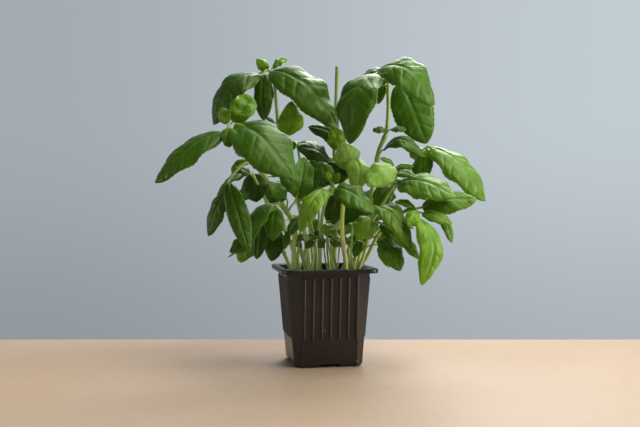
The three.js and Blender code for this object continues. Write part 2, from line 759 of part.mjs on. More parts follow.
        facing: [-0.2, -0.85, 0.4], bow: 0.15 },
      { at: 0.62, foot: [14, 155.5, -8], tip: [6, 126.5, -16], width: 21,
        facing: [0.1, -0.9, 0.3], bow: 0.15 },
      { at: 0.9, foot: [21, 185.5, -6], tip: [3, 165.5, -12], width: 24,
        facing: [-0.1, -0.9, 0.3], bow: 0.15 },
    ],
  },
  {
    name: "shoot_centre_right",
    axes: [
      {
        foot: [20, -2],
        path: [
          [26, 111.5, -4], [40, 141.5, -8], [54, 167.5, -14], [60, 177.5, -16],
        ],
        radii: [2, 1.3],
      },
    ],
    leaves: [
      { at: 1, foot: [66, 181.5, -20], tip: [41, 163.5, -36], width: 29,
        facing: [-0.1, -0.95, 0.35], bow: 0.2, cup: -0.8 },
      { at: 1, foot: [66, 182.5, -16], tip: [53, 189.5, -22], width: 12,
        facing: [0, -0.6, 0.8], bow: 0.15 },
      { at: 1, foot: [66, 179.5, -18], tip: [84, 181.5, -26], width: 11,
        facing: [0, -0.6, 0.8], bow: 0.15 },
      { at: 1, foot: [66, 174.5, -22], tip: [87, 171.5, -30], width: 12,
        facing: [0, -0.6, 0.8], bow: 0.15 },
      { at: 0.9, foot: [63, 162.5, -20], tip: [47, 146.5, -30], width: 20,
        facing: [0, -0.9, 0.4], bow: 0.2 },
      { at: 0.55, foot: [37, 149.5, -14], tip: [43, 114.5, -22], width: 26,
        facing: [0.1, -0.9, 0.3], bow: 0.15 },
    ],
  },
  {
    name: "shoot_front_centre",
    axes: [
      {
        foot: [-3, -24],
        path: [
          [-3, 101.5, -25], [-2, 121.5, -27], [0, 141.5, -30], [6, 157.5, -34],
          [9, 165.5, -36],
        ],
        radii: [2, 1.2],
      },
    ],
    leaves: [
      { at: 0.95, foot: [4, 160.5, -44], tip: [-22, 120.5, -66], width: 21,
        facing: [-0.3, -0.8, 0.5], bow: 0.22 },
      { at: 1, foot: [11, 161.5, -38], tip: [48, 138.5, -50], width: 29,
        facing: [0.1, -0.75, 0.6], bow: 0.18, twist: 0.7 },
      { at: 1, foot: [6, 167.5, -34], tip: [-3, 185.5, -30], width: 17,
        facing: [-0.1, -0.9, 0.3], bow: 0.15 },
      { at: 1, foot: [10, 167.5, -38], tip: [15, 175.5, -42], width: 7,
        facing: [0.2, -0.8, 0.5], bow: 0.1 },
      { at: 1, foot: [8, 167.5, -38], tip: [3, 176.5, -42], width: 6,
        facing: [-0.2, -0.8, 0.5], bow: 0.1 },
      { at: 0.5, foot: [12, 124.5, -36], tip: [-2, 121.5, -46], width: 14,
        facing: [0, -0.9, 0.4], bow: 0.1 },
    ],
  },
  {
    name: "shoot_front_left",
    axes: [
      {
        foot: [-7, -11],
        path: [
          [-7, 101.5, -12], [-12, 130.5, -16], [-18, 151.5, -19],
        ],
        radii: [1.9, 1.3],
      },
    ],
    leaves: [
      { at: 1, foot: [-21, 156.5, -20], tip: [-40, 175.5, -24], width: 20,
        facing: [-0.1, -0.7, 0.7], bow: 0.15 },
      { at: 1, foot: [-16, 157.5, -18], tip: [-6, 179.5, -20], width: 18,
        facing: [0.1, -0.8, 0.5], bow: 0.15 },
      { at: 0.8, foot: [-18, 135.5, -24], tip: [-32, 117.5, -36], width: 14,
        facing: [-0.2, -0.8, 0.5], bow: 0.15 },
    ],
  },
];

const CUT_STEMS = [
  {
    name: "cut_stem_front",
    foot: [21, -28],
    path: [
      [20.5, 96.5, -29], [18.5, 109.5, -31], [17.5, 127.5, -31], [18.5, 148, -32],
    ],
    radii: [2.2, 1.8],
  },
  {
    name: "cut_stem_tall",
    foot: [8, 20],
    path: [[9, 151.5, 18], [12, 246.5, 14], [12.8, 274.5, 13]],
    radii: [2, 1.6],
  },
];

// Shoots behind the ones that show: each stem leans from its foot to its top, with pairs of leaves
// that turn a quarter from one pair to the next.
const BACK_SHOOTS = [
  { name: "shoot_back_left", foot: [-24, 22], top: [-62, 183.5, 52], lean: -0.7 },
  { name: "shoot_back_mid_left", foot: [-9, 28], top: [-24, 201.5, 62], lean: -0.3 },
  { name: "shoot_back_mid_right", foot: [10, 30], top: [22, 179.5, 84], lean: 0.1 },
  { name: "shoot_back_right", foot: [24, 24], top: [62, 177.5, 62], lean: 0.6 },
  { name: "shoot_back_low_left", foot: [-31, 10], top: [-48, 129.5, 36], lean: -0.3 },
  { name: "shoot_back_low_right", foot: [18, 15], top: [60, 131.5, 46], lean: 0.9 },
];
const BACK_PAIRS = [0.5, 0.7, 0.86, 1];
const BACK_LEAF = { length: 58, width: 37 };

// Thin young plants between the stems, each with a pair of small leaves where there is room for
// them. twigs are the tops of bare side stalks that leave the stem just above the soil.
const SEEDLINGS = [
  {
    name: "seedling_1",
    foot: [-24, -20],
    top: [-21, 123.5, -24],
    twigs: [[-15.5, 117.5, -25], [-29, 112.5, -19]],
  },
  {
    name: "seedling_2",
    foot: [-12, -30],
    top: [-15, 113.5, -34],
    twigs: [[-7, 112, -35]],
  },
  {
    name: "seedling_3",
    foot: [6, -18],
    top: [4, 129.5, -20],
    twigs: [[12, 122, -17], [-0.5, 121, -15]],
  },
  {
    name: "seedling_4",
    foot: [12, -26],
    top: [10, 117.5, -28],
    twigs: [[4.5, 113, -31], [15.5, 115, -22]],
  },
  {
    name: "seedling_5",
    foot: [27, -24],
    top: [27, 127.5, -28],
    twigs: [[32.5, 116.5, -20], [23, 112.5, -21]],
  },
  { name: "seedling_6", foot: [-2, 18], top: [-4, 151.5, 20], twigs: [] },
];

function random(seed) {
  let state = seed;
  return () => {
    state = (state * 16807) % 2147483647;
    return state / 2147483647;
  };
}

function leafyRow(node, azimuth, length, width, droop, draw) {
  const [x, z, depth] = node;
  const out = [Math.cos(azimuth), Math.sin(azimuth)];
  const stalk = length * 0.22;
  const foot = [x + out[0] * stalk, z + stalk * 0.5, depth + out[1] * stalk];
  const tip = [
    foot[0] + out[0] * length * Math.cos(droop),
    foot[1] - length * Math.sin(droop),
    foot[2] + out[1] * length * Math.cos(droop),
  ];
  const facing = [out[0] * 0.4, out[1] * 0.4, 0.9];
  const bow = 0.14 + 0.12 * draw();
  return { optional: true, foot, tip, width, facing, bow, sway: 0.1 * (draw() - 0.5) };
}

function backShoot({ name, foot, top, lean }, number) {
  const draw = random(4100 + 17 * number);
  const [x, depth] = foot;
  const knee = [
    x + (top[0] - x) * 0.3,
    SOIL_TOP + (top[1] - SOIL_TOP) * 0.45,
    depth + (top[2] - depth) * 0.3,
  ];
  const path = [knee, top];
  const leaves = [];
  const points = [...ROOT_HEIGHTS.map((z) => [x, z, depth]), ...path];
  const curve = new THREE.CatmullRomCurve3(points.map((point) => new THREE.Vector3(...point)));
  BACK_PAIRS.forEach((fraction, pair) => {
    const node = curve.getPointAt(fraction).toArray();
    const size = pair === BACK_PAIRS.length - 1 ? 0.5 : 0.75 + 0.35 * draw();
    for (const half of [0, 1]) {
      const quarter = pair % 2 ? 0.3 : 1.5;
      const azimuth = Math.PI / 2 - lean + quarter + half * Math.PI + 0.5 * (draw() - 0.5);
      const droop = (0.2 + 0.5 * draw()) * fraction;
      const { length, width } = BACK_LEAF;
      const row = leafyRow(node, azimuth, length * size, width * size, droop, draw);
      leaves.push({ ...row, at: fraction });
    }
  });
  return { name, axes: [{ foot, path, radii: BACK_SHOOT_RADII }], leaves };
}

function seedling({ name, foot, top, twigs }, number) {
  const draw = random(770 + 29 * number);
  const [x, depth] = foot;
  const middle = [(x + top[0]) / 2 + 2 * (draw() - 0.5), SEEDLING_KNEE, (depth + top[2]) / 2];
  const path = [middle, top];
  const leaves = [0, 1].map((half) => {
    const azimuth = 0.5 + draw() + half * Math.PI;
    return { ...leafyRow(top, azimuth, 13 + 5 * draw(), 8, 0.2, draw), at: 1 };
  });
  const axes = [{ foot, path, radii: SEEDLING_RADII }];
  for (const twig of twigs) {
    const start = [x, TWIG_FOOT_Z, depth];
    const { along, z } = TWIG_KNEE;
    const knee = [x + (twig[0] - x) * along, z, depth + (twig[2] - depth) * along];
    axes.push({ path: [start, knee, twig], radii: TWIG_RADII });
  }
  return { name, axes, leaves };
}

// ---------------------------------------------------------------- keeping leaves clear

const SAMPLE_ROWS = [0, 0.12, 0.24, 0.36, 0.48, 0.6, 0.72, 0.84, 0.94, 1];
const SAMPLE_COLUMNS = [-1, -0.6, -0.2, 0.2, 0.6, 1];

function leafSamples(leaf, start) {
  const frame = bladeFrame(leaf);
  const samples = [];
  for (const s of SAMPLE_ROWS) {
    for (const q of SAMPLE_COLUMNS) samples.push(bladePoint(leaf, frame, s, q));
  }
  const stalk = frame.foot.clone().sub(start);
  const steps = Math.ceil(stalk.length() / 4);
  for (let i = 1; i < steps; i++) samples.push(start.clone().addScaledVector(stalk, i / steps));
  return samples;
}

function roomLeft(samples, others) {
  let least = Infinity;
  for (const point of samples) {
    for (const other of others) least = Math.min(least, point.distanceToSquared(other));
  }
  return Math.sqrt(least);
}

function moved(leaf, shift) {
  const [fx, fz, fd] = leaf.foot;
  const [tx, tz, td] = leaf.tip;
  return { ...leaf, foot: [fx, fz, fd + shift * 0.4], tip: [tx, tz, td + shift] };
}

// A leaf swings in depth, a little further each time and to either side, until it is clear of
// the other stems and of their leaves, or takes the place with the most room. An optional one
// that finds no clear place doesn't grow.
function clearLeaf(leaf, start, others) {
  let best = leaf;
  let most = -1;
  for (let i = 0; i < SHIFTS; i++) {
    const shift = SHIFT_STEP * Math.ceil(i / 2) * (i % 2 ? 1 : -1);
    const tried = moved(leaf, shift);
    const room = roomLeft(leafSamples(tried, start), others);
    if (room > CLEAR) return tried;
    if (room > most) {
      best = tried;
      most = room;
    }
  }
  return leaf.optional ? null : best;
}

// ---------------------------------------------------------------- planting

// A stem with a foot starts upright in the soil.
function curveOf({ foot, path }) {
  const root = foot ? ROOT_HEIGHTS.map((z) => [foot[0], z, foot[1]]) : [];
  return new THREE.CatmullRomCurve3([...root, ...path].map(seen));
}

function plantShoot(shoot, taken) {
  const curves = shoot.axes.map(curveOf);
  const solids = curves.map((curve, i) => stemSolid(curve, shoot.axes[i].radii));
  const others = taken
    .filter((entry) => entry.name !== shoot.name)
    .flatMap((entry) => entry.samples);
  const mine = [];
  shoot.leaves.forEach((row, i) => {
    const curve = curves[row.on ?? 0];
    const start = curve.getPointAt(row.at);
    const leaf = clearLeaf({ ...row, phase: i * 2.1 + shoot.name.length }, start, others);
    if (!leaf) return;
    mine.push(...leafSamples(leaf, start));
    solids.push(leafSolid(leaf, start));
  });
  taken.push({ name: shoot.name, samples: mine });
  place(shoot.name, fuse(solids), LEAF_GREEN);
}

const shoots = [...SHOOTS, ...BACK_SHOOTS.map(backShoot), ...SEEDLINGS.map(seedling)];
const taken = [...shoots, ...CUT_STEMS].map(({ name, axes, foot, path }) => ({
  name,
  samples: (axes ?? [{ foot, path }]).flatMap((axis) => curveOf(axis).getSpacedPoints(40)),
}));
for (const shoot of shoots) plantShoot(shoot, taken);
for (const { name, foot, path, radii } of CUT_STEMS) {
  const curve = curveOf({ foot, path });
  place(name, stemSolid(curve, radii), STEM_GREEN);
}

makePot();
makeSoil(
  [...shoots.map(({ axes }) => axes[0]), ...CUT_STEMS].map(({ foot: [x, depth], radii }) => ({
    foot: seen([x, ROOT_HEIGHTS[0], depth]),
    radius: radii[0],
  })),
);

export default plant;
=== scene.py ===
import math
from dataclasses import dataclass, field, replace
from functools import cache

import bmesh
import bpy
import numpy as np
from mathutils import Matrix, Vector
from mathutils.bvhtree import BVHTree


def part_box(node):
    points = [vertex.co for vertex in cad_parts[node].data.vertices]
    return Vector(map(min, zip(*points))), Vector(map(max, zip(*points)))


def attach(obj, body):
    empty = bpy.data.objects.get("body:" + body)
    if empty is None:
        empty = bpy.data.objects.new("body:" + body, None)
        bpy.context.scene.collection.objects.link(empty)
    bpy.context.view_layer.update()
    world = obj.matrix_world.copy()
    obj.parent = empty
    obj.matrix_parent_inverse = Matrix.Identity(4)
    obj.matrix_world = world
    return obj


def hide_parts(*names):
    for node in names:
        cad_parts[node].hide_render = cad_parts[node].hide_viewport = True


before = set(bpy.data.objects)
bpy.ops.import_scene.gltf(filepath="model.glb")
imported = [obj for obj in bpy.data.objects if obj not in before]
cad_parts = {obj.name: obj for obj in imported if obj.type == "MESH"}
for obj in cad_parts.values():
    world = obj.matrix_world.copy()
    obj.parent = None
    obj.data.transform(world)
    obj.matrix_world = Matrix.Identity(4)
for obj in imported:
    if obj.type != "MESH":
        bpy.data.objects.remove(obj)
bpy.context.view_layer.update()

bl_info = {
    "name": "Potted basil",
    "version": (1, 0, 0),
    "blender": (4, 5, 0),
    "location": "View3D > Sidebar > Basil",
    "description": "Dresses a potted basil plant: leaves, stems, hairs, soil and nursery pot",
    "category": "Object",
}

# The frame is in metres. The plant's own tables are in millimetres, as a grower's sketch is.
MM = 0.001


# ---------------------------------------------------------------- layout of the plant
#
# A point is (x, z, depth): where it shows on the upright plane through the pot's axis, seen
# from VIEWPOINT, and how far behind that plane it lies.

VIEWPOINT = Vector((-3.0, -837.0, 152.5))
SOIL_TOP = 77.0
ROOT_HEIGHTS = (68.0, 86.0)


@dataclass
class Axis:
    """A stem or branch. One with a foot, (x, depth), starts upright in the soil."""

    foot: tuple
    path: list
    radii: tuple


@dataclass
class Leaf:
    """A leaf on an axis, at a fraction of its length. The blade runs from foot to tip: bow
    arches it, cup bends it across, twist turns it and sway moves it sideways. tone runs from
    dark to bright green, and puff is how far it crumples and swells between its veins. A fine
    leaf is too small for the frame's solids."""

    at: float
    foot: tuple
    tip: tuple
    width: float
    facing: tuple
    bow: float = 0.15
    cup: float = -0.5
    twist: float = 0.0
    sway: float = 0.0
    on: int = 0
    # A tone near 1 brings in the pale painted sheen of the leaf finish.
    tone: float = 0.5
    puff: float = 1.0
    phase: float = 0.0
    fine: bool = False


@dataclass
class Shoot:
    """A leafy stem: its axes, the main one first, and the leaves on them."""

    axes: list
    leaves: list = field(default_factory=list)


SHOOTS = {
    "shoot_left_front": Shoot(axes=[
        Axis((-28, -26), radii=(2.3, 1.7), path=[
            (-27.5, 101.5, -26), (-27, 118.5, -27), (-30, 133.5, -29), (-39, 146, -33),
        ]),
    ], leaves=[
        Leaf(1, (-45, 147.5, -36), (-71, 109.5, -52), 25, (-0.5, -0.6, 0.6), bow=0.22),
        Leaf(0.97, (-44, 143.5, -42), (-47, 112.5, -46), 19, (-0.2, -1, 0.2), bow=0.1),
        Leaf(0.88, (-25, 152.5, -38), (-18, 190.5, -34), 21,
             (0.3, -0.9, -0.1), cup=0.6, tone=0.42, puff=1.1),
        Leaf(0.9, (-34, 151.5, -24), (-52, 167.5, -20), 18, (-0.2, -0.7, 0.7), bow=0.1),
        Leaf(0.62, (-32, 122.5, -36), (-36, 104.5, -40), 7, (-0.2, -1, 0.3), bow=0.1, tone=0.4),
    ]),
    "shoot_left_low": Shoot(axes=[
        Axis((-22, -2), radii=(1.9, 1.2), path=[
            (-28, 106.5, -4), (-42, 133.5, -10), (-54, 151.5, -16), (-64, 171.5, -22),
        ]),
    ], leaves=[
        Leaf(0.72, (-57, 130.5, -14), (-62, 95.5, -20), 20, (-0.4, -0.9, 0.2), bow=0.1, tone=0.2),
        Leaf(0.5, (-43, 123.5, -8), (-48, 93.5, -14), 20, (-0.1, -1, 0.2), bow=0.1, tone=0.16),
        Leaf(1, (-65, 175.5, -14), (-62, 148.5, -18), 27, (-0.2, -0.9, 0.2), tone=0.1),
        Leaf(1, (-68, 174.5, -18), (-82, 181.5, -14), 12, (0, -0.6, 0.8), bow=0.1, tone=0.22),
        Leaf(0.66, (-69, 118.5, -24), (-87, 101.5, -28), 14,
             (-0.4, -0.8, 0.5), bow=0.1, tone=0.22),
    ]),
    "shoot_left_long": Shoot(axes=[
        Axis((-16, -14), radii=(2.4, 1.5), path=[
            (-20, 101.5, -15), (-32, 136.5, -20), (-50, 166.5, -30), (-68, 191.5, -40),
            (-82, 209.5, -46), (-88, 217.5, -48),
        ]),
        Axis(None, radii=(1.4, 1.1), path=[
            (-58, 178.5, -35), (-68, 185.5, -42), (-75, 183.5, -44), (-82, 176.5, -46),
            (-87.5, 169.5, -47), (-90.5, 159.5, -48),
        ]),
    ], leaves=[
        Leaf(1, (-93, 213.5, -50), (-156.5, 166.5, -62), 34,
             (-0.3, -0.65, 0.7), bow=0.12, tone=0.38),
        Leaf(0.95, (-80, 221.5, -54), (-28, 171.5, -76), 53,
             (0.1, -0.72, 0.68), bow=0.16, tone=0.36),
        Leaf(1, (-84, 223.5, -44), (-66, 246.5, -36), 22,
             (0.3, -0.8, 0.3), bow=0.2, cup=0.7, tone=0.62, puff=2.4),
        Leaf(1, (-89, 221.5, -48), (-95, 236.5, -44), 13,
             (-0.4, -0.7, 0.3), bow=0.1, tone=0.72, puff=2.2),
        Leaf(1, (-88, 217.5, -54), (-87, 199.5, -62), 16, (-0.2, -0.8, 0.5), tone=0.6, puff=1.8),
        Leaf(1, (-85, 216.5, -58), (-72, 199.5, -70), 13, (0.2, -0.8, 0.5), bow=0.2, tone=0.55),
        Leaf(1, (-90.5, 158, -49), (-107, 117, -44), 20,
             (-0.55, -0.8, 0.15), bow=0.1, on=1, tone=0.25),
        Leaf(0.8, (-88, 166.5, -50), (-69, 102.5, -62), 20,
             (0.1, -1, 0.2), bow=0.08, on=1, tone=0.33),
    ]),
    "shoot_top_left": Shoot(axes=[
        Axis((-14, 8), radii=(2.4, 1.5), path=[
            (-16, 111.5, 8), (-24, 151.5, 6), (-34, 191.5, 2), (-41, 217.5, 0), (-44, 243.5, -2),
            (-45, 256.5, -4), (-49.5, 271.5, -6),
        ]),
    ], leaves=[
        Leaf(1, (-59, 268, -10), (-102, 220.5, -26), 37, (-0.45, -0.75, 0.5), bow=0.25, tone=0.2),
        Leaf(1, (-55.5, 267.5, -16), (-55, 224.5, -28), 21,
             (-0.35, -0.92, 0.1), bow=0.08, tone=0.28),
        Leaf(1, (-49, 270, -10), (14, 216.5, -24), 43,
             (0.3, -0.82, 0.5), bow=0.22, tone=0.33, puff=1.3),
        Leaf(0.71, (-36.5, 209.5, -6), (-29, 242.5, -18), 27,
             (0.25, -0.93, 0.25), bow=0.2, cup=-0.8, sway=0.1, tone=0.78, puff=1.5),
        Leaf(0.76, (-45, 222.5, -2), (-56, 228.5, -6), 8, (-0.2, -0.5, 0.8), bow=0.1, tone=0.3),
        Leaf(1, (-51, 270.5, -8), (-62, 281.5, -12), 14,
             (-0.3, -0.8, 0.3), bow=0.2, cup=-1.2, tone=0.8, puff=1.6),
        Leaf(1, (-47, 273, -8), (-33, 281.5, -10), 14,
             (0.1, -0.5, 0.8), bow=0.2, tone=0.75, puff=1.6),
        Leaf(0.7, (-45, 206.5, 8), (-68, 191.5, 36), 28, (-0.3, 0.2, 0.9), tone=0.4),
        Leaf(0.44, (-35, 166.5, 0), (-54, 147.5, -10), 23, (-0.2, -0.8, 0.5), tone=0.4),
        Leaf(0.44, (-18, 166.5, 8), (2, 145.5, 12), 27, (0.2, -0.8, 0.5), tone=0.4),
        Leaf(0.99, (-44, 265.5, 4), (-15, 242.5, 44), 30, (0, 0.6, 0.8), bow=0.2, tone=0.4),
    ]),
    "shoot_top_right": Shoot(axes=[
        Axis((32, 4), radii=(2.5, 1.7), path=[
            (36, 111.5, 4), (44, 151.5, 2), (50, 187.5, 0), (52, 197.5, 0), (58, 211.5, -2),
            (60, 225, -2), (60, 257.5, -2), (58.5, 269.5, -3),
        ]),
    ], leaves=[
        Leaf(1, (49, 267.5, -12), (25, 202.5, -32), 43, (-0.52, -0.78, 0.4), bow=0.26, tone=0.36),
        Leaf(1, (51, 271.5, -10), (103, 238.5, -24), 42, (0.2, -0.84, 0.55), bow=0.35),
        Leaf(0.97, (72, 259.5, 14), (96, 203, 2), 41,
             (0.05, -1, 0.1), bow=0.08, cup=-0.4, tone=0.42),
        Leaf(1, (54, 271, 2), (36, 265.5, 6), 18, (-0.2, -0.5, 0.8), tone=0.28),
        Leaf(0.94, (57.5, 257.5, -6), (51, 239.5, -10), 8, (-0.2, -0.9, 0.2), bow=0.1, tone=0.6),
        Leaf(0.7, (57, 217, -6), (46, 214.5, -10), 11,
             (0, -0.6, 0.8), bow=0.1, tone=0.55, puff=1.6),
        Leaf(0.7, (63, 216.5, -6), (77, 215.5, -12), 12, (0, -0.6, 0.8), tone=0.55, puff=1.6),
        Leaf(0.6, (56, 197.5, -6), (95, 190.5, -22), 20, (0, -0.65, 0.75), bow=0.38, tone=0.32),
        Leaf(0.34, (53, 149.5, -2), (76, 125.5, -12), 25, (0.3, -0.7, 0.6), tone=0.35),
        Leaf(0.34, (36, 149.5, 8), (16, 127.5, 10), 25, (-0.2, -0.8, 0.5), tone=0.4),
        Leaf(0.98, (55, 263.5, 6), (31, 236.5, 44), 32, (-0.1, 0.6, 0.8), bow=0.2, tone=0.4),
    ]),
    "shoot_right_far": Shoot(axes=[
        Axis((29, 14), radii=(2.1, 1.4), path=[
            (37, 111.5, 14), (56, 146.5, 10), (76, 173.5, 4), (90, 190.5, 0), (97, 200.5, -2),
        ]),
    ], leaves=[
        Leaf(1, (100, 199.5, -4), (151, 149.5, -24), 41, (0.3, -0.62, 0.72), bow=0.14, tone=0.62),
        Leaf(0.97, (93, 195.5, -6), (92, 167.5, -12), 21,
             (-0.5, -0.85, 0.1), bow=0.1, twist=0.8, tone=0.55),
        Leaf(0.96, (94, 197.5, 6), (92, 183.5, 46), 30, (0.2, 0.4, 0.9), tone=0.4),
    ]),
    "shoot_right_mid": Shoot(axes=[
        Axis((26, -14), radii=(2.1, 1.4), path=[
            (32, 101.5, -15), (46, 131.5, -18), (59, 153.5, -24), (65, 163.5, -28),
        ]),
    ], leaves=[
        Leaf(1, (70, 166.5, -32), (123, 153.5, -58), 38, (-0.05, -0.6, 0.8), tone=0.6),
        Leaf(0.98, (66, 165.5, -22), (88, 169.5, 2), 22, (0.1, 0, 1), tone=0.4),
    ]),
    "shoot_right_out": Shoot(axes=[
        Axis((33, -8), radii=(1.9, 1.3), path=[
            (40, 96.5, -10), (52, 119.5, -20), (68, 135.5, -32), (81, 142.5, -42),
        ]),
    ], leaves=[
        Leaf(1, (92, 143.5, -48), (143, 151.5, -62), 26, (0.05, -0.8, 0.6), bow=0.12, tone=0.62),
        Leaf(1, (92, 138.5, -50), (120, 128.5, -60), 15, (0, -0.7, 0.7), bow=0.12, tone=0.68),
        Leaf(1, (87, 140.5, -56), (79, 125.5, -66), 16,
             (0, -0.95, 0.2), cup=-0.9, tone=0.75, puff=1.4),
        Leaf(0.95, (108, 141.5, -34), (120, 110.5, -40), 12, (0.4, -0.8, 0.4), bow=0.1, tone=0.6),
        Leaf(0.98, (88, 134.5, -56), (92, 71, -70), 28,
             (0.5, -0.8, 0.3), bow=0.2, sway=-0.1, tone=0.74),
        Leaf(0.9, (68, 149.5, -44), (86, 142.5, -54), 9, (0, -0.7, 0.7), tone=0.6),
    ]),
    "shoot_right_low": Shoot(axes=[
        Axis((33, -26), radii=(1.9, 1.3), path=[
            (37, 96.5, -27), (41, 113.5, -30), (45, 133.5, -36), (46, 143.5, -40),
        ]),
    ], leaves=[
        Leaf(1, (49, 144.5, -44), (82, 105.5, -68), 24, (0.35, -0.7, 0.6), bow=0.2, tone=0.6),
        Leaf(0.82, (68, 119.5, -48), (89, 95.5, -56), 14, (0.3, -0.7, 0.6), bow=0.12, tone=0.75),
        Leaf(0.6, (55, 114.5, -46), (72, 84.5, -58), 23, (0.2, -0.8, 0.5), tone=0.52),
        Leaf(0.5, (52, 107.5, -40), (62, 87.5, -48), 12, (0.2, -0.8, 0.5), tone=0.8),
        Leaf(0.8, (42, 135.5, -42), (33, 113.5, -52), 21, (-0.1, -0.9, 0.3), tone=0.78),
        Leaf(0.5, (35, 112.5, -34), (29, 97.5, -40), 10, (0, -0.9, 0.3), bow=0.1),
        Leaf(0.75, (54, 129.5, -38), (67, 113.5, -42), 13,
             (0.1, -0.8, 0.5), bow=0.1, tone=0.45, puff=1.8),
    ]),
    "shoot_centre": Shoot(axes=[
        Axis((8, 6), radii=(2.1, 1.3), path=[
            (10, 111.5, 6), (13, 146.5, 4), (17, 171.5, 2), (21, 185.5, 0), (23, 193.5, -2),
        ]),
    ], leaves=[
        Leaf(0.95, (27, 178.5, -10), (17, 204.5, -22), 30,
             (-0.2, -0.8, 0.5), bow=0.2, cup=-0.9, tone=1.0, puff=0.9),
        Leaf(1, (27, 190.5, -14), (31, 157.5, -30), 25,
             (0.1, -0.9, 0.4), bow=0.25, cup=-0.8, sway=-0.1, tone=0.95, puff=0.9),
        Leaf(1, (17, 198.5, 0), (-14, 218.5, -10), 22, (-0.2, -0.7, 0.7), bow=0.3, tone=0.18),
        Leaf(1, (16, 197.5, -8), (8, 218.5, -14), 20, (0, -0.9, 0.3), tone=0.75, puff=1.8),
        Leaf(0.93, (6, 185.5, 2), (-25, 200.5, -4), 26, (0, -0.7, 0.7), bow=0.2, tone=0.18),
        Leaf(0.7, (6, 164.5, -8), (-13, 186.5, -14), 24, (-0.2, -0.85, 0.4), tone=0.3),
        Leaf(0.62, (14, 155.5, -8), (6, 126.5, -16), 21, (0.1, -0.9, 0.3), tone=0.12),
        Leaf(0.9, (21, 185.5, -6), (3, 165.5, -12), 24, (-0.1, -0.9, 0.3), tone=0.18),
    ]),
    "shoot_centre_right": Shoot(axes=[
        Axis((20, -2), radii=(2, 1.3), path=[
            (26, 111.5, -4), (40, 141.5, -8), (54, 167.5, -14), (60, 177.5, -16),
        ]),
    ], leaves=[
        Leaf(1, (66, 181.5, -20), (41, 163.5, -36), 29,
             (-0.1, -0.95, 0.35), bow=0.2, cup=-0.8, tone=0.97),
        Leaf(1, (66, 182.5, -16), (53, 189.5, -22), 12, (0, -0.6, 0.8), tone=0.55),
        Leaf(1, (66, 179.5, -18), (84, 181.5, -26), 11, (0, -0.6, 0.8)),
        Leaf(1, (66, 174.5, -22), (87, 171.5, -30), 12, (0, -0.6, 0.8), tone=0.45),
        Leaf(0.9, (63, 162.5, -20), (47, 146.5, -30), 20,
             (0, -0.9, 0.4), bow=0.2, tone=0.55, puff=1.4),
        Leaf(0.55, (37, 149.5, -14), (43, 114.5, -22), 26, (0.1, -0.9, 0.3), tone=0.42),
    ]),
    "shoot_front_centre": Shoot(axes=[
        Axis((-3, -24), radii=(2, 1.2), path=[
            (-3, 101.5, -25), (-2, 121.5, -27), (0, 141.5, -30), (6, 157.5, -34), (9, 165.5, -36),
        ]),
    ], leaves=[
        Leaf(0.95, (4, 160.5, -44), (-22, 120.5, -66), 21,
             (-0.3, -0.8, 0.5), bow=0.22, tone=0.72),
        Leaf(1, (11, 161.5, -38), (48, 138.5, -50), 29,
             (0.1, -0.75, 0.6), bow=0.18, twist=0.7, tone=0.42),
        Leaf(1, (6, 167.5, -34), (-3, 185.5, -30), 17, (-0.1, -0.9, 0.3), tone=0.3),
        Leaf(1, (10, 167.5, -38), (15, 175.5, -42), 7, (0.2, -0.8, 0.5), bow=0.1, tone=0.7),
        Leaf(1, (8, 167.5, -38), (3, 176.5, -42), 6, (-0.2, -0.8, 0.5), bow=0.1, tone=0.7),
        Leaf(0.5, (12, 124.5, -36), (-2, 121.5, -46), 14, (0, -0.9, 0.4), bow=0.1, tone=0.6),
    ]),
    "shoot_front_left": Shoot(axes=[
        Axis((-7, -11), radii=(1.9, 1.3), path=[
            (-7, 101.5, -12), (-12, 130.5, -16), (-18, 151.5, -19),
        ]),
    ], leaves=[
        Leaf(1, (-21, 156.5, -20), (-40, 175.5, -24), 20, (-0.1, -0.7, 0.7), tone=0.4),
        Leaf(1, (-16, 157.5, -18), (-6, 179.5, -20), 18, (0.1, -0.8, 0.5), tone=0.45),
        Leaf(0.8, (-18, 135.5, -24), (-32, 117.5, -36), 14, (-0.2, -0.8, 0.5), tone=0.35),
    ]),
}


CUT_STEMS = {
    "cut_stem_front": Axis((21, -28), radii=(2.2, 1.8), path=[
        (20.5, 96.5, -29), (18.5, 109.5, -31), (17.5, 127.5, -31), (18.5, 148, -32),
    ]),
    "cut_stem_tall": Axis((8, 20), radii=(2, 1.6), path=[
        (9, 151.5, 18), (12, 246.5, 14), (12.8, 274.5, 13),
    ]),
}
# How high the swollen joint of a cut stem is.
CUT_JOINT_Z = {"cut_stem_front": 110.0, "cut_stem_tall": 205.0}

# Shoots behind the ones that show: a stem's foot, its top and the way it leans.
BACK_SHOOTS = {
    "shoot_back_left": ((-24, 22), (-62, 183.5, 52), -0.7),
    "shoot_back_mid_left": ((-9, 28), (-24, 201.5, 62), -0.3),
    "shoot_back_mid_right": ((10, 30), (22, 179.5, 84), 0.1),
    "shoot_back_right": ((24, 24), (62, 177.5, 62), 0.6),
    "shoot_back_low_left": ((-31, 10), (-48, 129.5, 36), -0.3),
    "shoot_back_low_right": ((18, 15), (60, 131.5, 46), 0.9),
}
BACK_RADII = (2, 1.2)
BACK_KNEE_ACROSS, BACK_KNEE_UP = 0.3, 0.45
BACK_PAIRS = (0.5, 0.7, 0.86, 1)
BACK_LENGTH, BACK_WIDTH = 58, 37
TOP_PAIR_SIZE = 0.5

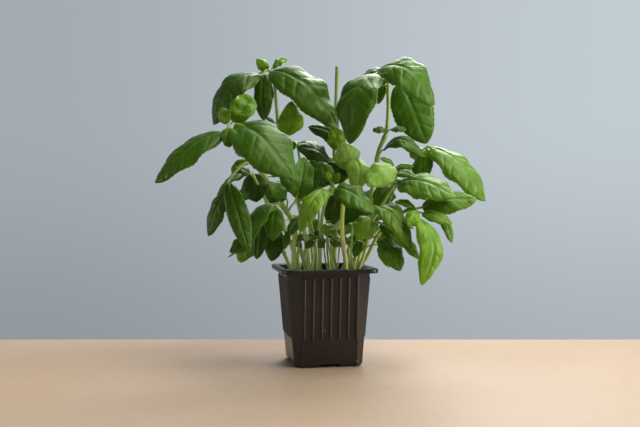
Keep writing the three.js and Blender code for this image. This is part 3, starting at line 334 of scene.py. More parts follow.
# Thin young plants: foot, top, and the tops of side stalks.
SEEDLINGS = {
    "seedling_1": ((-24, -20), (-21, 123.5, -24), [(-15.5, 117.5, -25), (-29, 112.5, -19)]),
    "seedling_2": ((-12, -30), (-15, 113.5, -34), [(-7, 112, -35)]),
    "seedling_3": ((6, -18), (4, 129.5, -20), [(12, 122, -17), (-0.5, 121, -15)]),
    "seedling_4": ((12, -26), (10, 117.5, -28), [(4.5, 113, -31), (15.5, 115, -22)]),
    "seedling_5": ((27, -24), (27, 127.5, -28), [(32.5, 116.5, -20), (23, 112.5, -21)]),
    "seedling_6": ((-2, 18), (-4, 151.5, 20), []),
}
SEEDLING_RADII, TWIG_RADII = (1.2, 0.9), (0.9, 0.6)
SEEDLING_LEAF_WIDTH = 8
SEEDLING_KNEE_Z = 101.5
TWIG_FOOT_Z, TWIG_KNEE_Z = SOIL_TOP + 3, 94.5
TWIG_KNEE_ACROSS = 0.6
FINE_FACING = (0, -0.8, 0.6)
STALK_SHARE, STALK_RISE = 0.22, 0.5

# For each table, the first seed and the step from one row's to the next: of its layout, and of
# its finer form.
BACK_LAYOUT_SEED, SEEDLING_LAYOUT_SEED = (4100, 17), (770, 29)
SHOOT_SEED, BACK_SEED, SEEDLING_SEED = (101, 13), (409, 17), (733, 19)


def draws(seed):
    """A plain generator of numbers from 0 to 1, the same on every run."""
    state = seed
    while True:
        state = state * 16807 % 2147483647
        yield state / 2147483647


def seed_of(seeds, number):
    first, step = seeds
    return first + step * number


def leafy_row(node, azimuth, length, width, droop, draw, at):
    """One leaf of a pair, from the pair's node outwards along azimuth."""
    x, z, depth = node
    out = (math.cos(azimuth), math.sin(azimuth))
    stalk = length * STALK_SHARE
    foot = (x + out[0] * stalk, z + stalk * STALK_RISE, depth + out[1] * stalk)
    tip = (
        foot[0] + out[0] * length * math.cos(droop),
        foot[1] - length * math.sin(droop),
        foot[2] + out[1] * length * math.cos(droop),
    )
    bow = 0.14 + 0.12 * next(draw)
    sway = 0.1 * (next(draw) - 0.5)
    return Leaf(at, foot, tip, width, (out[0] * 0.4, out[1] * 0.4, 0.9), bow=bow, sway=sway)


def back_shoot(number, foot, top, lean):
    """Pairs of leaves on a leaning stem, each pair set crosswise to the one below."""
    draw = draws(seed_of(BACK_LAYOUT_SEED, number))
    x, depth = foot
    knee = (
        x + (top[0] - x) * BACK_KNEE_ACROSS,
        SOIL_TOP + (top[1] - SOIL_TOP) * BACK_KNEE_UP,
        depth + (top[2] - depth) * BACK_KNEE_ACROSS,
    )
    shoot = Shoot([Axis(foot, [knee, top], BACK_RADII)])
    plan = Curve(rooted(shoot.axes[0]))
    for pair, fraction in enumerate(BACK_PAIRS):
        node = plan.at(fraction)
        size = TOP_PAIR_SIZE if pair == len(BACK_PAIRS) - 1 else 0.75 + 0.35 * next(draw)
        crosswise = 0.3 if pair % 2 else 1.5
        for half in (0, math.pi):
            azimuth = math.pi / 2 - lean + crosswise + half + 0.5 * (next(draw) - 0.5)
            droop = (0.2 + 0.5 * next(draw)) * fraction
            length, width = BACK_LENGTH * size, BACK_WIDTH * size
            shoot.leaves.append(leafy_row(node, azimuth, length, width, droop, draw, fraction))
    return shoot


def seedling(number, foot, top, twigs):
    """A pair of leaves on a thin stem, and a pair of fine ones on each of its side stalks."""
    draw = draws(seed_of(SEEDLING_LAYOUT_SEED, number))
    x, depth = foot
    middle = ((x + top[0]) / 2 + 2 * (next(draw) - 0.5), SEEDLING_KNEE_Z, (depth + top[2]) / 2)
    shoot = Shoot([Axis(foot, [middle, top], SEEDLING_RADII)])
    for twig in twigs:
        across = TWIG_KNEE_ACROSS
        knee = (x + (twig[0] - x) * across, TWIG_KNEE_Z, depth + (twig[2] - depth) * across)
        shoot.axes.append(Axis(None, [(x, TWIG_FOOT_Z, depth), knee, twig], TWIG_RADII))
    width = SEEDLING_LEAF_WIDTH
    for half in (0, math.pi):
        azimuth = 0.5 + next(draw) + half
        length = 13 + 5 * next(draw)
        shoot.leaves.append(leafy_row(top, azimuth, length, width, 0.2, draw, 1))
    for on, twig in enumerate(twigs, 1):
        turn = 0.8 * (next(draw) - 0.5)
        for half in (0, math.pi):
            leaf = leafy_row(twig, turn + half, 8 + 4 * next(draw), width, 0.8, draw, 1)
            tone = 0.15 + 0.5 * next(draw)
            shoot.leaves.append(replace(leaf, facing=FINE_FACING, on=on, tone=tone, fine=True))
    return shoot


# ---------------------------------------------------------------- curves and leaf surfaces


def rooted(axis):
    """An axis's layout points, from down in the soil if it stands there."""
    root = [(axis.foot[0], z, axis.foot[1]) for z in ROOT_HEIGHTS] if axis.foot else []
    return [*root, *axis.path]


def seen(point):
    """The place in space, in millimetres, of a layout point."""
    x, z, depth = point
    reach = (depth - VIEWPOINT.y) / -VIEWPOINT.y
    return np.array((
        VIEWPOINT.x + (x - VIEWPOINT.x) * reach,
        depth,
        VIEWPOINT.z + (z - VIEWPOINT.z) * reach,
    ))


class Curve:
    """A smooth curve through points, which spreads its bends as the spacing of the points does."""

    STEPS = 200

    def __init__(self, points):
        points = [np.array(point, float) for point in points]
        points = [2 * points[0] - points[1], *points, 2 * points[-1] - points[-2]]
        spans = len(points) - 3
        places = [self.between(points, spans * k / self.STEPS) for k in range(self.STEPS + 1)]
        self.points = np.array(places)
        steps = np.linalg.norm(np.diff(self.points, axis=0), axis=1)
        self.run = np.concatenate([[0.0], np.cumsum(steps)])
        self.length = self.run[-1]

    @staticmethod
    def between(points, place):
        span = min(int(place), len(points) - 4)
        t = place - span
        p0, p1, p2, p3 = points[span:span + 4]
        d0, d1, d2 = (max(1e-4, np.linalg.norm(b - a) ** 0.5)
                      for a, b in ((p0, p1), (p1, p2), (p2, p3)))
        m1 = ((p1 - p0) / d0 - (p2 - p0) / (d0 + d1) + (p2 - p1) / d1) * d1
        m2 = ((p2 - p1) / d1 - (p3 - p1) / (d1 + d2) + (p3 - p2) / d2) * d1
        square = 3 * (p2 - p1) - 2 * m1 - m2
        cube = 2 * (p1 - p2) + m1 + m2
        return p1 + m1 * t + square * t**2 + cube * t**3

    def at(self, fraction):
        """The place at a fraction of the length, or the places at many."""
        wanted = np.asarray(fraction) * self.length
        return np.stack([np.interp(wanted, self.run, axis) for axis in self.points.T], axis=-1)


def unit(vector):
    return vector / np.linalg.norm(vector)


def rows_unit(vectors):
    return vectors / np.linalg.norm(vectors, axis=1)[:, None]


def smoothstep(low, high, value):
    t = np.clip((value - low) / (high - low), 0, 1)
    return t * t * (3 - 2 * t)


def outline(s):
    """A blade's half width along its length, as a share of the widest."""
    return np.sin(np.pi * s**0.9).clip(0) ** (0.42 + 0.24 * s)


FOOT_HALF_WIDTH, TIP_HALF_WIDTH = 0.9, 0.12
ARCH_SKEW = 0.85
TWIST_FROM = 0.3
EDGE_WAVE, EDGE_WAVES, EDGE_LAG = 0.1, 5, 1.3


class Blade:
    """The middle surface of a leaf's blade: s runs from foot to tip, q from edge to edge."""

    def __init__(self, leaf):
        self.leaf = leaf
        self.foot, self.tip = seen(leaf.foot), seen(leaf.tip)
        self.length = np.linalg.norm(self.tip - self.foot)
        self.along = unit(self.tip - self.foot)
        facing = np.array(leaf.facing, float)
        self.up = unit(facing - self.along * facing.dot(self.along))
        self.side = np.cross(self.along, self.up)

    def half(self, s):
        ends = FOOT_HALF_WIDTH + (TIP_HALF_WIDTH - FOOT_HALF_WIDTH) * s
        return np.maximum(ends, self.leaf.width / 2 * outline(s))

    def surface(self, s, q):
        """Points and their normals, for arrays of s and q."""
        leaf, length = self.leaf, self.length
        bend = np.pi * s**ARCH_SKEW
        arch, slope = np.sin(bend), np.cos(bend) * np.pi * leaf.bow
        rib = (
            self.foot
            + np.outer(length * s, self.along)
            + np.outer(leaf.bow * length * arch, self.up)
            + np.outer(leaf.sway * length * np.sin(np.pi * s), self.side)
        )
        normal = rows_unit(self.up - np.outer(slope, self.along))
        turn = leaf.twist * (s - TWIST_FROM)
        cos, sin = np.cos(turn)[:, None], np.sin(turn)[:, None]
        across = self.side * cos + normal * sin
        upwards = normal * cos - self.side * sin
        half, cup = self.half(s), leaf.cup
        out = half * np.sin(cup * q) / cup
        rise = half * (1 - np.cos(cup * np.abs(q))) / cup
        phase = leaf.phase + np.where(q > 0, EDGE_LAG, 0)
        wave = EDGE_WAVE * half * q * q * np.sin(np.pi * EDGE_WAVES * s + phase)
        points = rib + across * out[:, None] + upwards * (rise + wave)[:, None]
        tilt = (cup * q)[:, None]
        return points, upwards * np.cos(tilt) - across * np.sin(tilt)


SWING_STEP, SWINGS = 5.0, 9
FOOT_SWING = 0.4
MATCH_S = np.array([0.2, 0.35, 0.5, 0.5, 0.5, 0.65, 0.8, 0.92])
MATCH_Q = np.array([0.0, 0.3, -0.5, 0.0, 0.5, -0.3, 0.0, 0.0])
GROWN_WITHIN = 1.6


def swung(leaf, shift):
    """The leaf moved back by shift at its tip, and less at its foot."""
    fx, fz, fd = leaf.foot
    tx, tz, td = leaf.tip
    return replace(leaf, foot=(fx, fz, fd + shift * FOOT_SWING), tip=(tx, tz, td + shift))


def settled(leaf, tree):
    """The leaf swung in depth to where the frame's solid has it, or None if it didn't grow."""
    best, least = None, math.inf
    for i in range(SWINGS):
        tried = swung(leaf, SWING_STEP * ((i + 1) // 2) * (1 if i % 2 else -1))
        points, _ = Blade(tried).surface(MATCH_S, MATCH_Q)
        far = sum(tree.find_nearest(Vector(point) * MM)[3] for point in points) / len(points)
        if far < least:
            best, least = tried, far
    return best if least < GROWN_WITHIN * MM else None


def solid_tree(node):
    """The frame's solid of a node, for finding what is near."""
    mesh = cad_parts[node].data
    return BVHTree.FromPolygons([v.co for v in mesh.vertices], [p.vertices for p in mesh.polygons])


# ---------------------------------------------------------------- templates and pieces


def template_of(bm):
    """A template: its corners' places, and its mesh."""
    bm.verts.ensure_lookup_table()
    bmesh.ops.recalc_face_normals(bm, faces=bm.faces)
    places = np.array([v.co[:] for v in bm.verts])
    mesh = bpy.data.meshes.new("template")
    bm.to_mesh(mesh)
    bm.free()
    return places, mesh


@cache
def leaf_template(columns, rows):
    """A closed flat envelope: an upper and an under sheet, x and y from -1 to 1, z 1 or -1."""
    bm = bmesh.new()
    for level in (1, -1):
        made = bmesh.ops.create_grid(bm, x_segments=columns, y_segments=rows, size=1)
        bmesh.ops.translate(bm, verts=made["verts"], vec=(0, 0, level))
    bmesh.ops.bridge_loops(bm, edges=[edge for edge in bm.edges if edge.is_boundary])
    return template_of(bm)


@cache
def tube_template(sides, steps):
    """A closed round bar along Z from -0.5 to 0.5, cut into steps rings."""
    bm = bmesh.new()
    bmesh.ops.create_cone(bm, cap_ends=True, segments=sides, radius1=1, radius2=1, depth=1)
    rises = [edge for edge in bm.edges if abs(edge.verts[0].co.z - edge.verts[1].co.z) > 0.5]
    bmesh.ops.subdivide_edges(bm, edges=rises, cuts=steps - 1, use_grid_fill=True)
    return template_of(bm)


@cache
def hair_template():
    """A three-sided spike, one unit long."""
    bm = bmesh.new()
    bmesh.ops.create_cone(bm, cap_ends=False, segments=3, radius1=1, radius2=0, depth=1)
    bmesh.ops.remove_doubles(bm, verts=bm.verts, dist=1e-5)
    bmesh.ops.translate(bm, verts=bm.verts, vec=(0, 0, 0.5))
    return template_of(bm)


@cache
def crumb_template():
    bm = bmesh.new()
    bmesh.ops.create_icosphere(bm, subdivisions=1, radius=1)
    return template_of(bm)


class Gather:
    """Collects bent templates, with a vector a vertex for each named attribute, into one mesh."""

    def __init__(self):
        self.bm = bmesh.new()
        self.places, self.marks = [], []

    def add(self, template, places, **marks):
        self.bm.from_mesh(template[1])
        self.places.append(places)
        self.marks.append(marks)

    def finish(self, name, material, slot, *nodes):
        mesh = bpy.data.meshes.new(name)
        self.bm.to_mesh(mesh)
        self.bm.free()
        places = np.concatenate(self.places) * MM
        mesh.vertices.foreach_set("co", places.astype(np.float32).ravel())
        for key in self.marks[0]:
            values = np.concatenate([marks[key] for marks in self.marks])
            attribute = mesh.attributes.new(key, "FLOAT_VECTOR", "POINT")
            attribute.data.foreach_set("vector", values.astype(np.float32).ravel())
        mesh.polygons.foreach_set("use_smooth", [True] * len(mesh.polygons))
        mesh.materials.append(material)
        mesh.update()
        return dress(bpy.data.objects.new(name, mesh), slot, *nodes)


def linked(name, bm):
    """A mesh made a piece of the scene."""
    mesh = bpy.data.meshes.new(name)
    bm.to_mesh(mesh)
    bm.free()
    piece = bpy.data.objects.new(name, mesh)
    bpy.context.scene.collection.objects.link(piece)
    return piece


def dress(piece, slot, *nodes):
    """Puts a piece in the scene, on the plant's one body, in place of the frame's nodes."""
    bpy.context.scene.collection.objects.link(piece)
    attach(piece, "root")
    if nodes:
        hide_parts(*nodes)
    return piece


# ---------------------------------------------------------------- leaves

# From this length on, a blade's sheets have so many columns and rows.
LEAF_SIZES = ((0, 10, 14), (16, 16, 24), (30, 26, 40), (46, 40, 64))
GROWN_LENGTH = 60
TOOTH_LAG = 0.15
TOOTHED_REACH, TOOTHED_FROM = (0.7, 1), (0.1, 0.25)
# Side veins: how many a short leaf keeps, how they slant and arch, and how they stray.
PAIRS_KEPT, PAIRS_GROWN, MOST_GROWN = 0.6, 0.4, 1.3
VEIN_SLANT, VEIN_ARCH, VEIN_SPREAD = 0.5, 0.32, 1.02
VEIN_STRAY, VEIN_LEAN = (0.02, 7), (0.012, 2.2, 1.7)
EDGE_CALM = 0.75
CUSHION_POWER = 3.6
BLISTERS, BLISTER_EVERY = 0.16, 0.55
CRUMPLE, CRUMPLE_EVERY = 0.035, 0.42
UNEVEN, UNEVEN_EVERY = 0.55, 24
EDGE_DROP = 0.05
GROOVE_REACH, RIB_REACH, SIDE_RIB_REACH = 1.2, 0.7, 0.45
RIB_RISE, SIDE_RIB_RISE = 1.0, 0.22


def ripples(u, v, seed, wavelength):
    """A soft random relief from -1 to 1: a few waves in directions that the seed gives."""
    draw = draws(seed)
    total = 0
    for _ in range(5):
        angle = next(draw) * math.tau
        stretch = 0.7 + 0.8 * next(draw)
        wave = math.tau / (wavelength * stretch)
        shift = next(draw) * math.tau
        total = total + np.sin((u * math.cos(angle) + v * math.sin(angle)) * wave + shift)
    return total / 3


def grown_leaf(gather, leaf, seed, props):
    """A closed blade: cushions between arching side veins, a sunk midrib, a toothed edge."""
    blade = Blade(leaf)
    length = blade.length
    template = leaf_template(*[size[1:] for size in LEAF_SIZES if length >= size[0]][-1])
    q, s, level = template[0].T
    s = (s + 1) / 2
    upper, reach = level > 0, np.abs(q)
    half = blade.half(s)
    rib = reach * half

    teeth = props.teeth_to_edge * length / GROWN_LENGTH
    tooth = (s * teeth + TOOTH_LAG * np.sign(q)) % 1 - 0.5
    tooth = tooth * smoothstep(*TOOTHED_REACH, reach) * smoothstep(*TOOTHED_FROM, s)
    points, normals = blade.surface(s, q * (1 + props.tooth_depth * tooth))

    grown = min(MOST_GROWN, length / GROWN_LENGTH)
    pairs = props.vein_pairs * (PAIRS_KEPT + PAIRS_GROWN * grown)
    stray = VEIN_STRAY[0] * np.sin(VEIN_STRAY[1] * s + seed)
    stray = stray + VEIN_LEAN[0] * np.sin(VEIN_LEAN[1] * q + seed * VEIN_LEAN[2])
    slant = (VEIN_SLANT * rib + VEIN_ARCH * rib * reach) / length
    phase = pairs * (s * VEIN_SPREAD + stray - slant)
    between = np.abs(2 * (phase % 1) - 1)
    spacing = length / pairs

    inner = smoothstep(0.0, 0.22, reach) * (1 - EDGE_CALM * smoothstep(0.72, 1, reach))
    ends = smoothstep(0, 0.1, s) * (1 - smoothstep(0.88, 1, s))
    cushion = (1 - between**CUSHION_POWER) * inner * ends
    blister = np.cos(rib * math.tau / (BLISTER_EVERY * spacing) + 5 * np.floor(phase))
    blister = blister * (1 - between**2) * inner * ends
    place = (rib * np.sign(q), s * length)
    crumple = ripples(*place, seed + 11, max(9, CRUMPLE_EVERY * length)) * ends
    uneven = 1 + UNEVEN * ripples(*place, seed + 5, UNEVEN_EVERY)
    relief = (
        props.puff * leaf.puff * spacing * uneven * (cushion + BLISTERS * blister)
        + CRUMPLE * leaf.width / 2 * leaf.puff**2 * crumple
        - props.midrib_groove / MM * np.exp(-(rib / GROOVE_REACH) ** 2) * (1 - s) ** 0.5
        - EDGE_DROP * half * smoothstep(0.8, 1, reach)
    )
    thick = props.blade_thickness / MM / 2
    beside = (1 - between) * spacing / 2
    ribs = (
        RIB_RISE * np.exp(-(rib / RIB_REACH) ** 2) * (1 - s) ** 0.7 * min(1, length / 40)
        + SIDE_RIB_RISE * np.exp(-(beside / SIDE_RIB_REACH) ** 2) * inner * ends
    )
    level = np.where(upper, thick, -thick - ribs)
    gather.add(
        template,
        points + normals * (relief + level)[:, None],
        blade_at=np.stack([s, reach, phase], axis=1),
        blade_is=np.stack([np.full(len(s), leaf.tone), np.where(upper, 0.0, 1.0), rib], axis=1),
    )
    return blade


# ---------------------------------------------------------------- stems, stalks and hairs

HAIR_RADIUS = 0.035
HAIR_ROOT = 0.9
HAIR_AGE = 0.4
STEM_GIRTH = 0.95
STEM_RING_EVERY, STALK_RING_EVERY = 2.5, 2.2
STEM_SQUARENESS, STALK_SQUARENESS = 0.05, 0.03
JOINT_REACH, JOINT_SWELL = 2.6, 0.3
STALK_SIDES = 8
# A stalk's last part runs on under the blade, to here and so far below its middle surface.
STALK_END, STALK_UNDER, STALK_BELOW = 0.8, 0.14, 0.5
STALK_EASE = 0.3
STALK_RADIUS, STALK_WIDENING, STALK_WIDEST = 0.5, 0.018, 1.1
STALK_HAIRS = 0.7


def bent_tube(gather, line, radius, sides, steps, age, square, swell):
    """A tapering bar along a line: radius(t), and extra girth at each (t, width, share) of
    swell. Gives its rings: middles, two directions across and girths."""
    template = tube_template(sides, steps)
    bar = template[0]
    station = np.rint((bar[:, 2] + 0.5) * steps).astype(int)
    t = np.linspace(0, 1, steps + 1)
    middles = line(t)
    tangents = rows_unit(np.gradient(middles, axis=0))
    across = [np.array((1.0, 0.0, 0.0))]
    for tangent in tangents:
        across.append(unit(across[-1] - tangent * across[-1].dot(tangent)))
    across = np.array(across[1:])
    over = np.cross(tangents, across)
    girth = radius(t)
    for place, width, share in swell:
        girth = girth * (1 + share * np.exp(-(((t - place) / width) ** 2)))
    turn = np.arctan2(bar[:, 1], bar[:, 0])
    reach = girth[station] * (1 + square * np.cos(4 * turn))
    places = (
        middles[station]
        + across[station] * (np.cos(turn) * reach)[:, None]
        + over[station] * (np.sin(turn) * reach)[:, None]
    )
    run = t[station] * np.linalg.norm(np.diff(middles, axis=0), axis=1).sum()
    none = np.zeros(len(run))
    gather.add(
        template,
        places,
        stem_at=np.stack([run, (turn / math.tau) % 1, none], axis=1),
        stem_is=np.stack([age(t)[station], girth[station], none], axis=1),
    )
    return middles, across, over, girth


def hairs(gather, rings, count, seed, length):
    """Fine hairs that stand off a stem, each at a random place along and around it."""
    middles, across, over, girth = rings
    draw = draws(seed)
    hair = hair_template()
    x, y, z = hair[0].T
    flat = np.zeros((len(x), 3))
    for _ in range(count):
        place = next(draw) * (len(middles) - 1)
        low = int(place)
        part = place - low
        turn = next(draw) * math.tau
        out = across[low] * math.cos(turn) + over[low] * math.sin(turn)
        along = unit(middles[low + 1] - middles[low])
        foot = middles[low] * (1 - part) + middles[low + 1] * part + out * girth[low] * HAIR_ROOT
        lean = unit(out + along * (0.6 * next(draw) - 0.2))
        third = unit(np.cross(lean, along))
        fourth = np.cross(lean, third)
        reach = length * (0.5 + 0.7 * next(draw))
        places = (
            foot
            + np.outer(x * HAIR_RADIUS, third)
            + np.outer(y * HAIR_RADIUS, fourth)
            + np.outer(z * reach, lean)
        )
        gather.add(hair, places, stem_at=flat, stem_is=flat + (HAIR_AGE, 0.0, 1.0))


def grown_stem(gather, curve, radii, joints, seed, props):
    """One axis, a little squarish, swollen at its leaf joints, with hairs."""
    rings = bent_tube(
        gather,
        curve.at,
        lambda t: (radii[0] + (radii[1] - radii[0]) * t) * STEM_GIRTH,
        props.stem_sides,
        max(6, round(curve.length / STEM_RING_EVERY)),
        lambda t: t,
        STEM_SQUARENESS,
        [(joint, JOINT_REACH / curve.length, JOINT_SWELL) for joint in sorted(set(joints))],
    )
    count = int(curve.length * props.hairs_per_mm)
    hairs(gather, rings, count, seed, props.hair_length / MM)


def grown_stalk(gather, start, leaving, blade, leaf, seed, props):
    """A leaf's stalk: out of the stem, over to the blade, and on under it as its midrib."""
    entering = unit(blade.along + blade.up * math.pi * leaf.bow * 0.5)
    gap = np.linalg.norm(blade.foot - start)
    points, normals = blade.surface(np.array([STALK_UNDER]), np.array([0.0]))
    last = points[0] - normals[0] * STALK_BELOW
    a, b = start, start + leaving * gap * STALK_EASE
    c, d = blade.foot - entering * gap * STALK_EASE, blade.foot

    def line(t):
        bend = np.minimum(1, t / STALK_END)[:, None]
        inner = (
            a * (1 - bend) ** 3
            + 3 * b * bend * (1 - bend) ** 2
            + 3 * c * bend**2 * (1 - bend)
            + d * bend**3
        )
        return inner + (last - d) * np.maximum(0, (t - STALK_END) / (1 - STALK_END))[:, None]

    thick = min(STALK_WIDEST, STALK_RADIUS + leaf.width * STALK_WIDENING)
    rings = bent_tube(
        gather,
        line,
        lambda t: thick * (1.1 - 0.35 * t) * (1 - 0.7 * smoothstep(0.85, 1, t)),
        STALK_SIDES,
        max(5, round(gap / STALK_RING_EVERY)),
        lambda t: 0.55 + 0.45 * t,
        STALK_SQUARENESS,
        [(0.0, 0.12, 0.35)],
    )
    count = int(gap * props.hairs_per_mm)
    hairs(gather, rings, count, seed, props.hair_length * STALK_HAIRS / MM)


# A stalk leaves its stem partly ahead, along the stem's course about the joint.
STEM_AHEAD, STEM_BEHIND, LEAVING_AHEAD = 0.02, 0.03, 0.5
# Above this share of its length a stem's leaves stand at its top, where it has no swollen joint.
TOP_FROM = 0.99


def grown_shoot(name, shoot, seed, props):
    """A leafy stem: one piece of leaves and one of stems, stalks and hairs."""
    tree = solid_tree(name)
    leaves, stems = Gather(), Gather()
    curves = [Curve([seen(point) for point in rooted(axis)]) for axis in shoot.axes]
    for number, (axis, curve) in enumerate(zip(shoot.axes, curves)):
        joints = [leaf.at for leaf in shoot.leaves if leaf.on == number and leaf.at < TOP_FROM]
        grown_stem(stems, curve, axis.radii, joints, seed + number, props)
    for number, row in enumerate(shoot.leaves):
        row = replace(row, phase=number * 2.1 + len(name))
        leaf = row if row.fine else settled(row, tree)
        if leaf is None:
            continue
        own_seed = seed * 31 + number * 7 + 3
        blade = grown_leaf(leaves, leaf, own_seed, props)
        curve = curves[row.on]
        start = curve.at(row.at)
        ahead = unit(curve.at(min(1, row.at + STEM_AHEAD)) - curve.at(row.at - STEM_BEHIND))
        leaving = unit(unit(blade.foot - start) + LEAVING_AHEAD * ahead)
        grown_stalk(stems, start, leaving, blade, leaf, own_seed, props)
    if leaves.places:
        leaves.finish(name + "_leaves", leaf_finish(props), "leaf", name)
    stems.finish(name + "_stems", stem_finish(props), "stem", name)


# ---------------------------------------------------------------- pot and soil

CORNER_STEPS, FILLET_STEPS = 16, 5
CHAMFER_INSET = 2 - math.sqrt(2)
WALL_FILLET, LEAST_FILLET = 1.2, 0.3
FLANGE_CORNER = 10
POT_AROUND, SOIL_AROUND = 4 * 112, 4 * 64
POT_YAW = math.radians(10.5)
POT_FLOOR_TOP = 4.0
RIB_FEET, RIB_TOPS = (24.8, 27.5), (79.4, 81.6)
FEET_ARCH = (8.3, 10.0)
FEET_ARCH_HEIGHT = 2.4
FEET_ARCH_INNER = (17.5, 15.5)
DRAIN_SLOT = (6, 3, 4.8)
DRAIN_SLOT_Z = 6.6
DRAIN_SLOT_ROUNDING = 1.1
# The pot's rings: half widths under its floor, how its foot is rounded, then heights, which
# are close together where the ribs begin and end.
UNDERSIDE_HALVES = (1, 8, 12, 14, 16, 18, 22, 26, 27.5)
FOOT_ROUNDING = ((0, 2.6, 0), (0, 1.3, 0.4), (0, 0.5, 1.1))
UNDERSIDE_RINGS = len(UNDERSIDE_HALVES) + len(FOOT_ROUNDING)
RIB_FEET_RINGS = (24, 25, 26, 27, 28, 30)
RIB_TOPS_RINGS = (76, 78.5, 79.5, 80.5, 81.5, 82.5, 84)
OUTER_RINGS = (
    2.2, 3.5, 5, 8, 12, 16, 20, *RIB_FEET_RINGS, 34, 40, 46, 52, 58, 64, 70, *RIB_TOPS_RINGS, 86,
)
INNER_RINGS = (
    *reversed(RIB_TOPS_RINGS), 70, 64, 58, 50, 42, 34, *reversed(RIB_FEET_RINGS), 18, 12, 8, 5,
)
# How thick the flange is.
PLATE = 1.2
# How far the soil's sides stay off the pot's wall, and where they end under its surface.
SOIL_GAP, SOIL_SHOULDER = 0.4, 1.5
SOIL_RINGS = (12, 24, 36, 48, 60, 70, SOIL_TOP - SOIL_SHOULDER)
SURFACE_RINGS = 30
CRUMB_SEED = 90210
CRUMB_MARGIN = 1.2
LEAST_CRUMB, CRUMB_GROWTH = 0.45, 1.35
CRUMB_RISE = 0.25
FIBRE_EVERY = 9
FIBRE_GIRTH, FIBRE_LENGTH, FIBRE_TILT = 0.12, 3, 1.3
PALE_SHARE = 0.05


def square_ring(half, corner, fillet, count, index):
    """Places on a square's outline, the ways out from it, and the run from each side's middle.
    A corner is a chamfer with filleted edges, or one arc where the fillets meet."""
    per_side = count // 4
    straight = per_side - CORNER_STEPS
    side, step = index // per_side, index % per_side
    end = half - corner - fillet * math.tan(math.pi / 8)
    past = np.clip(step - straight, 0, CORNER_STEPS)
    first = np.clip(past / FILLET_STEPS, 0, 1)
    second = np.clip((past - CORNER_STEPS + FILLET_STEPS) / FILLET_STEPS, 0, 1)
    between = np.clip((past - FILLET_STEPS) / (CORNER_STEPS - 2 * FILLET_STEPS), 0, 1)
    bend = (first + second) * math.pi / 4
    chamfer = half - fillet - end
    x = np.where(past > 0, end, (step / straight * 2 - 1) * end)
    x = x + chamfer * between + fillet * np.sin(bend)
    y = -half + fillet + chamfer * between - fillet * np.cos(bend)
    arc = fillet * bend + chamfer * math.sqrt(2) * between
    around = fillet * math.pi / 2 + chamfer * math.sqrt(2)
    run = np.where(past > CORNER_STEPS / 2, arc - around - end, end + arc)
    run = np.where(past > 0, run, x)
    outward = np.stack([np.sin(bend), -np.cos(bend)], axis=1)
    turn = side * math.pi / 2
    return turned(np.stack([x, y], axis=1), turn), turned(outward, turn), run


def turned(points, turn):
    x, y = points[:, 0], points[:, 1]
    cos, sin = np.cos(turn), np.sin(turn)
    return np.stack([x * cos - y * sin, x * sin + y * cos], axis=1)


def yawed(flat, z):
    """Places at these heights, turned about the pot's axis as the pot stands."""
    return np.column_stack([turned(flat, POT_YAW), z])


def lofted(stations, count):
    """A closed template through square rings, and for each of its vertices the ring's number,
    the place on it, the way out from it and the run from the side's middle."""
    template = tube_template(count, len(stations) - 1)
    x, y, z = template[0].T
    ring = np.rint((z + 0.5) * (len(stations) - 1)).astype(int)
    index = np.rint((np.arctan2(y, x) / math.tau % 1) * count).astype(int) % count
    flat, outward, run = np.zeros((len(ring), 2)), np.zeros((len(ring), 2)), np.zeros(len(ring))
    for k, (half, corner, fillet, _) in enumerate(stations):
        here = ring == k
        made = square_ring(half, corner, fillet, count, index[here])
        flat[here], outward[here], run[here] = made
    return template, ring, flat, outward, run


def rounded(half, radius, z):
    """A station whose corners are plain arcs."""
    return half, radius * CHAMFER_INSET, radius, z


class PotWall:
    """The wall's outline at any height, moved inwards: its chamfered corners widen upwards."""

    def __init__(self, props):
        self.foot, self.top = props.pot_foot / MM, props.pot_top / MM
        self.height, self.flat = props.pot_height / MM, props.pot_flat / MM
        self.wall = props.pot_wall / MM

    def half(self, z):
        return self.foot + (self.top - self.foot) * z / self.height

    def at(self, z, inwards=0.0, level=None):
        half = self.half(z)
        corner = half - self.flat - CHAMFER_INSET * inwards
        fillet = max(LEAST_FILLET, WALL_FILLET - inwards)
        return half - inwards, corner, fillet, z if level is None else level


def pot_profile(props):
    """The pot's rings as stations, each a half width, corner, fillet and height: from under the
    floor up the outside, over the rim and down the inside to the floor."""
    pot = PotWall(props)
    height, lip = pot.height, props.lip_drop / MM
    stations = [rounded(half, half * 0.25, 0.0) for half in UNDERSIDE_HALVES]
    stations += [pot.at(*place) for place in FOOT_ROUNDING]
    stations += [pot.at(z) for z in (*OUTER_RINGS, height - PLATE)]
    # How far in from the flange's edge and down from the top: its underside, the lip, its top.
    rim = (
        (2.4, PLATE), (1.3, 1.5), (1, 2.1), (1, lip - 0.2), (0.7, lip), (0.2, lip),
        (0, lip - 0.3), (0, 1.2), (0.15, 0.6), (0.6, 0.12), (1.2, 0),
    )
    for inwards, down in rim:
        half = props.flange / MM - inwards
        stations.append(rounded(half, FLANGE_CORNER - inwards, height - down))
    for inwards, down in ((-0.4, 0.05), (0.5, 0.3), (0.9, 0.9)):
        stations.append(pot.at(height, inwards, height - down))
    stations += [pot.at(z, pot.wall) for z in (height - 2, *INNER_RINGS)]
    stations.append(pot.at(POT_FLOOR_TOP, pot.wall + 1, POT_FLOOR_TOP + 0.1))
    for half, radius in ((24, 6), (12, 3), (1, 0.3)):
        stations.append(rounded(half, radius, POT_FLOOR_TOP))
    return np.array(stations)


